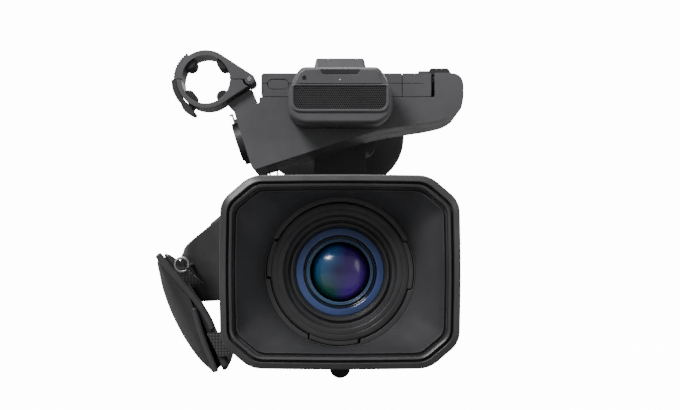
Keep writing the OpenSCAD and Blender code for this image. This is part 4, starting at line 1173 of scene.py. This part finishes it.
fitted("rear_screws", REAR, "steel",
    [(screw_part(1.9), rear(x, z)) for x in (-41, 41) for z in (46, -50)])

battery_low, battery_high = mm_box("battery")
fitted("battery_ribs", REAR, "black_shell",
    [(plate_part(30, 1.4, 0.7, 0.6, 0.3), (0, battery_high.y, battery_low.z + z))
     for z in (22, 26, 30, 34, 38)], body="battery")
fitted("battery_gauge", REAR, "gloss_black",
    [(plate_part(2.6, 1.4, 0.35, 0.4, 0.15), (x, battery_high.y, battery_high.z - 9))
     for x in (-9, -5, -1, 3)]
    + [(cap(1.6, 0.5, 0.2), (9, battery_high.y, battery_high.z - 9))], body="battery")

fitted("deck_screws", UP, "steel",
    [(screw_part(1.9), (x, y, DECK_Z)) for x in (-28, 28) for y in (-85, 0, 98)])
fitted("deck_vents", UP, "black_shell",
    [(slot_part(26, 1.6, 0.5), (x, -75 + 4.6 * k, DECK_Z)) for k in range(0, 7) for x in (0,)])
fitted("deck_panel", UP, "grey_shell", [(plate_part(44, 26, 0.7, 3), (0, 92, DECK_Z))])


# ------------------------------------------------------------------ handle

bar_low, bar_high = mm_box("handle_bar")
BAR_HW = (mm_box("front_pillar")[1].x - mm_box("front_pillar")[0].x) / 2
BAR_FRONT = bar_low.y
BAR_TOP = bar_high.z
BAR_END = mm_box("accessory_shoe")[0].y + 38
BAR_BOTTOM = L + 126
HANDLE_BLACK = moulded("handle_rubber", (0.035, 0.035, 0.036), 0.6, 700, 0.00008)


def bar_ring(y, low, high, hw, r_low, r_high, chamfer=1.3):
    return [(x, y, z) for x, z in rounded(
        [(-hw, low), (hw, low), (hw, high - 6), (hw - chamfer, high), (-hw + chamfer, high), (-hw, high - 6)],
        [r_low, r_low, 2.5, r_high, r_high, 2.5], 5)]


bar_rings = [bar_ring(BAR_FRONT + 0.15, BAR_BOTTOM + 1, BAR_TOP - 19.5, BAR_HW - 0.4, 3, 1.2),
             bar_ring(BAR_FRONT + 0.8, BAR_BOTTOM + 0.2, BAR_TOP - 18, BAR_HW, 4, 1.2),
             bar_ring(BAR_FRONT + 6.2, BAR_BOTTOM, BAR_TOP - 0.7, BAR_HW, 4, 1.5),
             bar_ring(BAR_FRONT + 7.0, BAR_BOTTOM, BAR_TOP - 0.15, BAR_HW, 4, 1.6)]
for k in range(17):
    t = k / 16
    y = BAR_FRONT + 8.2 + (BAR_END - BAR_FRONT - 9.6) * t
    waist = math.sin(math.pi * min(1, max(0, (t - 0.12) / 0.62))) ** 1.5
    bar_rings.append(bar_ring(y, BAR_BOTTOM + 3.5 * waist, BAR_TOP, BAR_HW - 1.6 * waist, 5 + 3 * waist, 2))
bar_rings += [bar_ring(BAR_END - 0.6, BAR_BOTTOM + 0.4, BAR_TOP - 0.4, BAR_HW - 0.4, 4, 2),
              bar_ring(BAR_END, BAR_BOTTOM + 1.4, BAR_TOP - 1.4, BAR_HW - 1.4, 3, 2)]
new_piece("handle_grip_bar", *loft(bar_rings), "camcorder", "grey_shell", shell, ["handle_bar"])


def pillar_rings(y0, y1, hw, z0, z1, flare):
    rings = []
    for k in range(13):
        t = k / 12
        widen = flare * (max(0, 1 - t * 3.2) ** 2 + max(0, (t - 0.74) / 0.26) ** 2 * 0.9)
        outline = rounded([(-hw - widen * 0.3, y0 - widen), (hw + widen * 0.3, y0 - widen),
                           (hw + widen * 0.3, y1 + widen), (-hw - widen * 0.3, y1 + widen)], 5, 5)
        rings.append([(x, y, z0 + (z1 - z0) * t) for x, y in outline])
    return rings


new_piece("handle_rear_pillar", *loft(pillar_rings(BAR_END - 32, BAR_END - 2.5, BAR_HW - 2.2, DECK_Z - 0.5,
                                                   BAR_BOTTOM + 2, 4)), "camcorder", "grey_shell", shell)
arms = []
for x in (-29.5, 24.5):
    outline = rounded([(BAR_END - 14, EVF_Z - 11), (BAR_END - 6, EVF_Z - 12), (bar_high.y - 14, EVF_Z - 12),
                       (bar_high.y, EVF_Z - 12), (bar_high.y, EVF_Z + 12), (bar_high.y - 14, EVF_Z + 12),
                       (BAR_END - 14, EVF_Z + 12)], [3, 3, 3, 11.5, 11.5, 3, 3], 10)
    arms.append(loft([[(x, y, z) for y, z in outline], [(x + 5, y, z) for y, z in outline]]))
new_piece("viewfinder_arms", *joined(arms), "camcorder", "grey_shell", shell, (), 0.7)
cross = rounded([(-29.4, EVF_Z + 2), (29.4, EVF_Z + 2), (29.4, EVF_Z + 12), (-29.4, EVF_Z + 12)], 2.5, 5)
new_piece("viewfinder_crossbar", *prism(cross, BAR_END - 14, BAR_END - 3.8), "camcorder", "grey_shell",
          shell, (), 0.5)
fitted("viewfinder_pivot_caps", LEFT, "gloss_black",
    [(knob_part(6.4, 1.6, 24), (29.4, mm_box("evf_housing")[0].y + EVF_HH, EVF_Z))], body="viewfinder")
new_piece("handle_side_inlays", *joined(
    [on_face(plate_part(62, 12, 0.7, 5, 0.4), (s * (BAR_HW - 0.9), BAR_FRONT + 50, BAR_TOP - 11), (s, 0, 0))
     for s in (-1, 1)]), "camcorder", "rubber", HANDLE_BLACK)
new_piece("handle_screws", *joined(
    [on_face(screw_part(1.7), (s * (BAR_HW - 0.3), y, BAR_TOP - 11), (s, 0, 0))
     for s in (-1, 1) for y in (BAR_FRONT + 8, BAR_END - 8)]), "camcorder", "steel", steel)

# ------------------------------------------------------------------ grip

grip_low, grip_high = mm_box("grip_body")
GRIP_FRONT, GRIP_BACK = grip_low.y, grip_high.y


def grip_ring(y, k, soften):
    """The grip's outline at y: k is how far it stands out, soften how round its corners are."""
    root = -46.0
    points = [(root, -36), (root, 60), (-52 - 34 * k, 60 - 22.8 * k), (-52 - 59.3 * k, 60 - 43.5 * k),
              (-52 - 60 * k, 12.5 * k), (-52 - 58.3 * k, -2.9), (-52 - 46.8 * k, -18 - 3.9 * k),
              (-52 - 37.5 * k, -19 + 1.8 * k)]
    s = soften
    radii = [1, 1, 4 + 9 * s, 1.7 + 0.8 * s, 1.7, 3 + 4 * s, 3 + 2 * s, 3]
    return [(x, y, L + z) for x, z in rounded(points, radii, 8)]


grip_rings = [grip_ring(GRIP_FRONT + 0.2, 0.44, 0)]
for depth, k, soften in ((0, 0.5, 0), (2, 0.62, 0), (6, 0.80, 0), (11, 0.9, 0.1), (17, 0.962, 0.25),
                         (24, 0.99, 0.5), (34, 1, 0.75), (50, 1, 1), (80, 1, 1), (108, 0.995, 1),
                         (122, 0.985, 1), (134, 0.95, 0.9), (144, 0.9, 0.8),
                         (151, 0.82, 0.6), (156, 0.72, 0.4),
                         (159, 0.63, 0.2), (160, 0.56, 0)):
    grip_rings.append(grip_ring(GRIP_FRONT + depth, k, soften))
grip_plastic = moulded("grip_plastic", (0.027, 0.027, 0.028), 0.41, 2000, 0.00002)
new_piece("grip_shell", *loft(grip_rings), "camcorder", "black_shell", grip_plastic, ["grip_body"])
collar = lathe([(0.6, 8.8), (-0.4, 8.7), (-0.9, 8.2), (-0.9, 7.5), (-0.3, 7.3), (1.2, 7.3)], (0, 0), 64)
new_piece("rec_button_collar", *on_face(collar, (-72, GRIP_BACK - 0.2, L + 14), REAR), "camcorder",
          "gloss_black", satin)

# ------------------------------------------------------------------ screen, input box and holder details

lcd_low, lcd_high = mm_box("lcd_panel")
inset_z = L + 124.8
new_piece("screen_finger_inset", *on_face(
    plate_part(13.6, 6.1, -0.55, 3, 0.25), (lcd_low.x + 11.3, lcd_low.y, inset_z), (0, -1, 0)),
    "screen_unit", "grey_shell", shell)
screen_low, screen_high = mm_box("lcd_screen")
mid_screen = (screen_low + screen_high) / 2
new_piece("screen_edge_keys", *joined(
    [on_face(plate_part(5, 2.2, 0.7, 0.9, 0.3), (lcd_high.x - 6.5, mid_screen.y + y, lcd_low.z),
             (0, 0, -1), 0) for y in (-18, -10, -2, 6, 14)]), "screen_unit", "rubber", rubber)

sock_frames = []
for node in ("xlr_tab_front", "xlr_tab_rear"):
    sock_frames.append(sum(mm_box(node), Vector()).y / 2)
SOCKET_LEAN = math.radians(17.5)
SOCKET_X, SOCKET_UP = -64.8, 88.8
socket_out = Vector((-math.cos(SOCKET_LEAN), 0, -math.sin(SOCKET_LEAN)))
socket_mid = Vector((SOCKET_X, 0, L + SOCKET_UP))
pins = []
for y in sock_frames:
    place = socket_mid + Vector((0, y, 0))
    face = joined([
        lathe([(-0.2, 13.1), (-4.2, 13.05), (-4.75, 12.6), (-4.85, 11.9), (-4.75, 10.3), (-4.4, 9.8),
               (-1, 9.6)],
              (0, 0), 72, False),
        lathe([(-1, 8.0), (-2.75, 7.95), (-2.9, 7.6), (-2.95, 0.01)], (0, 0), 60, False)])
    pins.append(on_face(face, place, socket_out))
new_piece("input_socket_rims", *joined(pins), "camcorder", "black_shell", satin)
contacts = []
for y in sock_frames:
    place = socket_mid + Vector((0, y, 0)) + socket_out * 2.8
    for a in (90, 210, 330):
        hole = lathe([(0.3, 1.5), (-0.35, 1.45), (-0.4, 1.1), (0.2, 0.9), (0.6, 0.01)],
                     (4.6 * math.cos(math.radians(a)), 4.6 * math.sin(math.radians(a))), 24)
        contacts.append(on_face(hole, place, socket_out))
new_piece("input_socket_contacts", *joined(contacts), "camcorder", "steel", steel)

guides = []
guide_low, guide_high = mm_box("cable_guides")
for x, swing in ((guide_low.x + 3.2, -0.4), (guide_high.x - 3.2, 0.5)):
    z = guide_high.z - 0.6
    y = (guide_low.y + guide_high.y) / 2
    path = [(x - 2.3, y, z + 2.5), (x - 2.6, y, z - 1.6), (x - 1.9 + swing, y - 0.3, z - 3.9),
            (x + swing, y - 0.4, z - 4.9), (x + 2.0 + swing, y - 0.3, z - 3.6), (x + 2.7, y, z - 0.8),
            (x + 2.4, y, z + 3.2)]
    guides.append(tube(path, 0.55, 12, 36))
new_piece("cable_guide_loops", *joined(guides), "camcorder", "rubber", rubber, ["cable_guides"])

NODES["strap_rings"].data.materials[0] = bright_metal("dark_nickel", (0.36, 0.36, 0.37), 0.4)

# ------------------------------------------------------------------ stage

floor_mesh = bpy.data.meshes.new("floor")
floor_mesh.from_pydata([(-6, -4, 0), (6, -4, 0), (6, 6, 0), (-6, 6, 0)], [], [(0, 1, 2, 3)])
floor = bpy.data.objects.new("floor", floor_mesh)
bpy.context.scene.collection.objects.link(floor)
floor_paint = Nodes("pale_floor")
floor_paint.colour(floor_paint.shade(floor_paint.noise(3, 3), (0.22, 0.22, 0.22), (0.25, 0.25, 0.25)))
floor_paint.roughness(floor_paint.spread(floor_paint.noise(9, 3), 0.7, 0.8))
floor_seen = floor_paint.add("ShaderNodeLightPath").outputs["Is Camera Ray"]
floor_paint.link(floor_paint.combine(floor_seen, BACKDROP, "MULTIPLY"),
                 floor_paint.shader.inputs["Emission Strength"])
floor_paint.set(Emission_Color=(1, 1, 1, 1))
floor_mesh.materials.append(floor_paint.material)
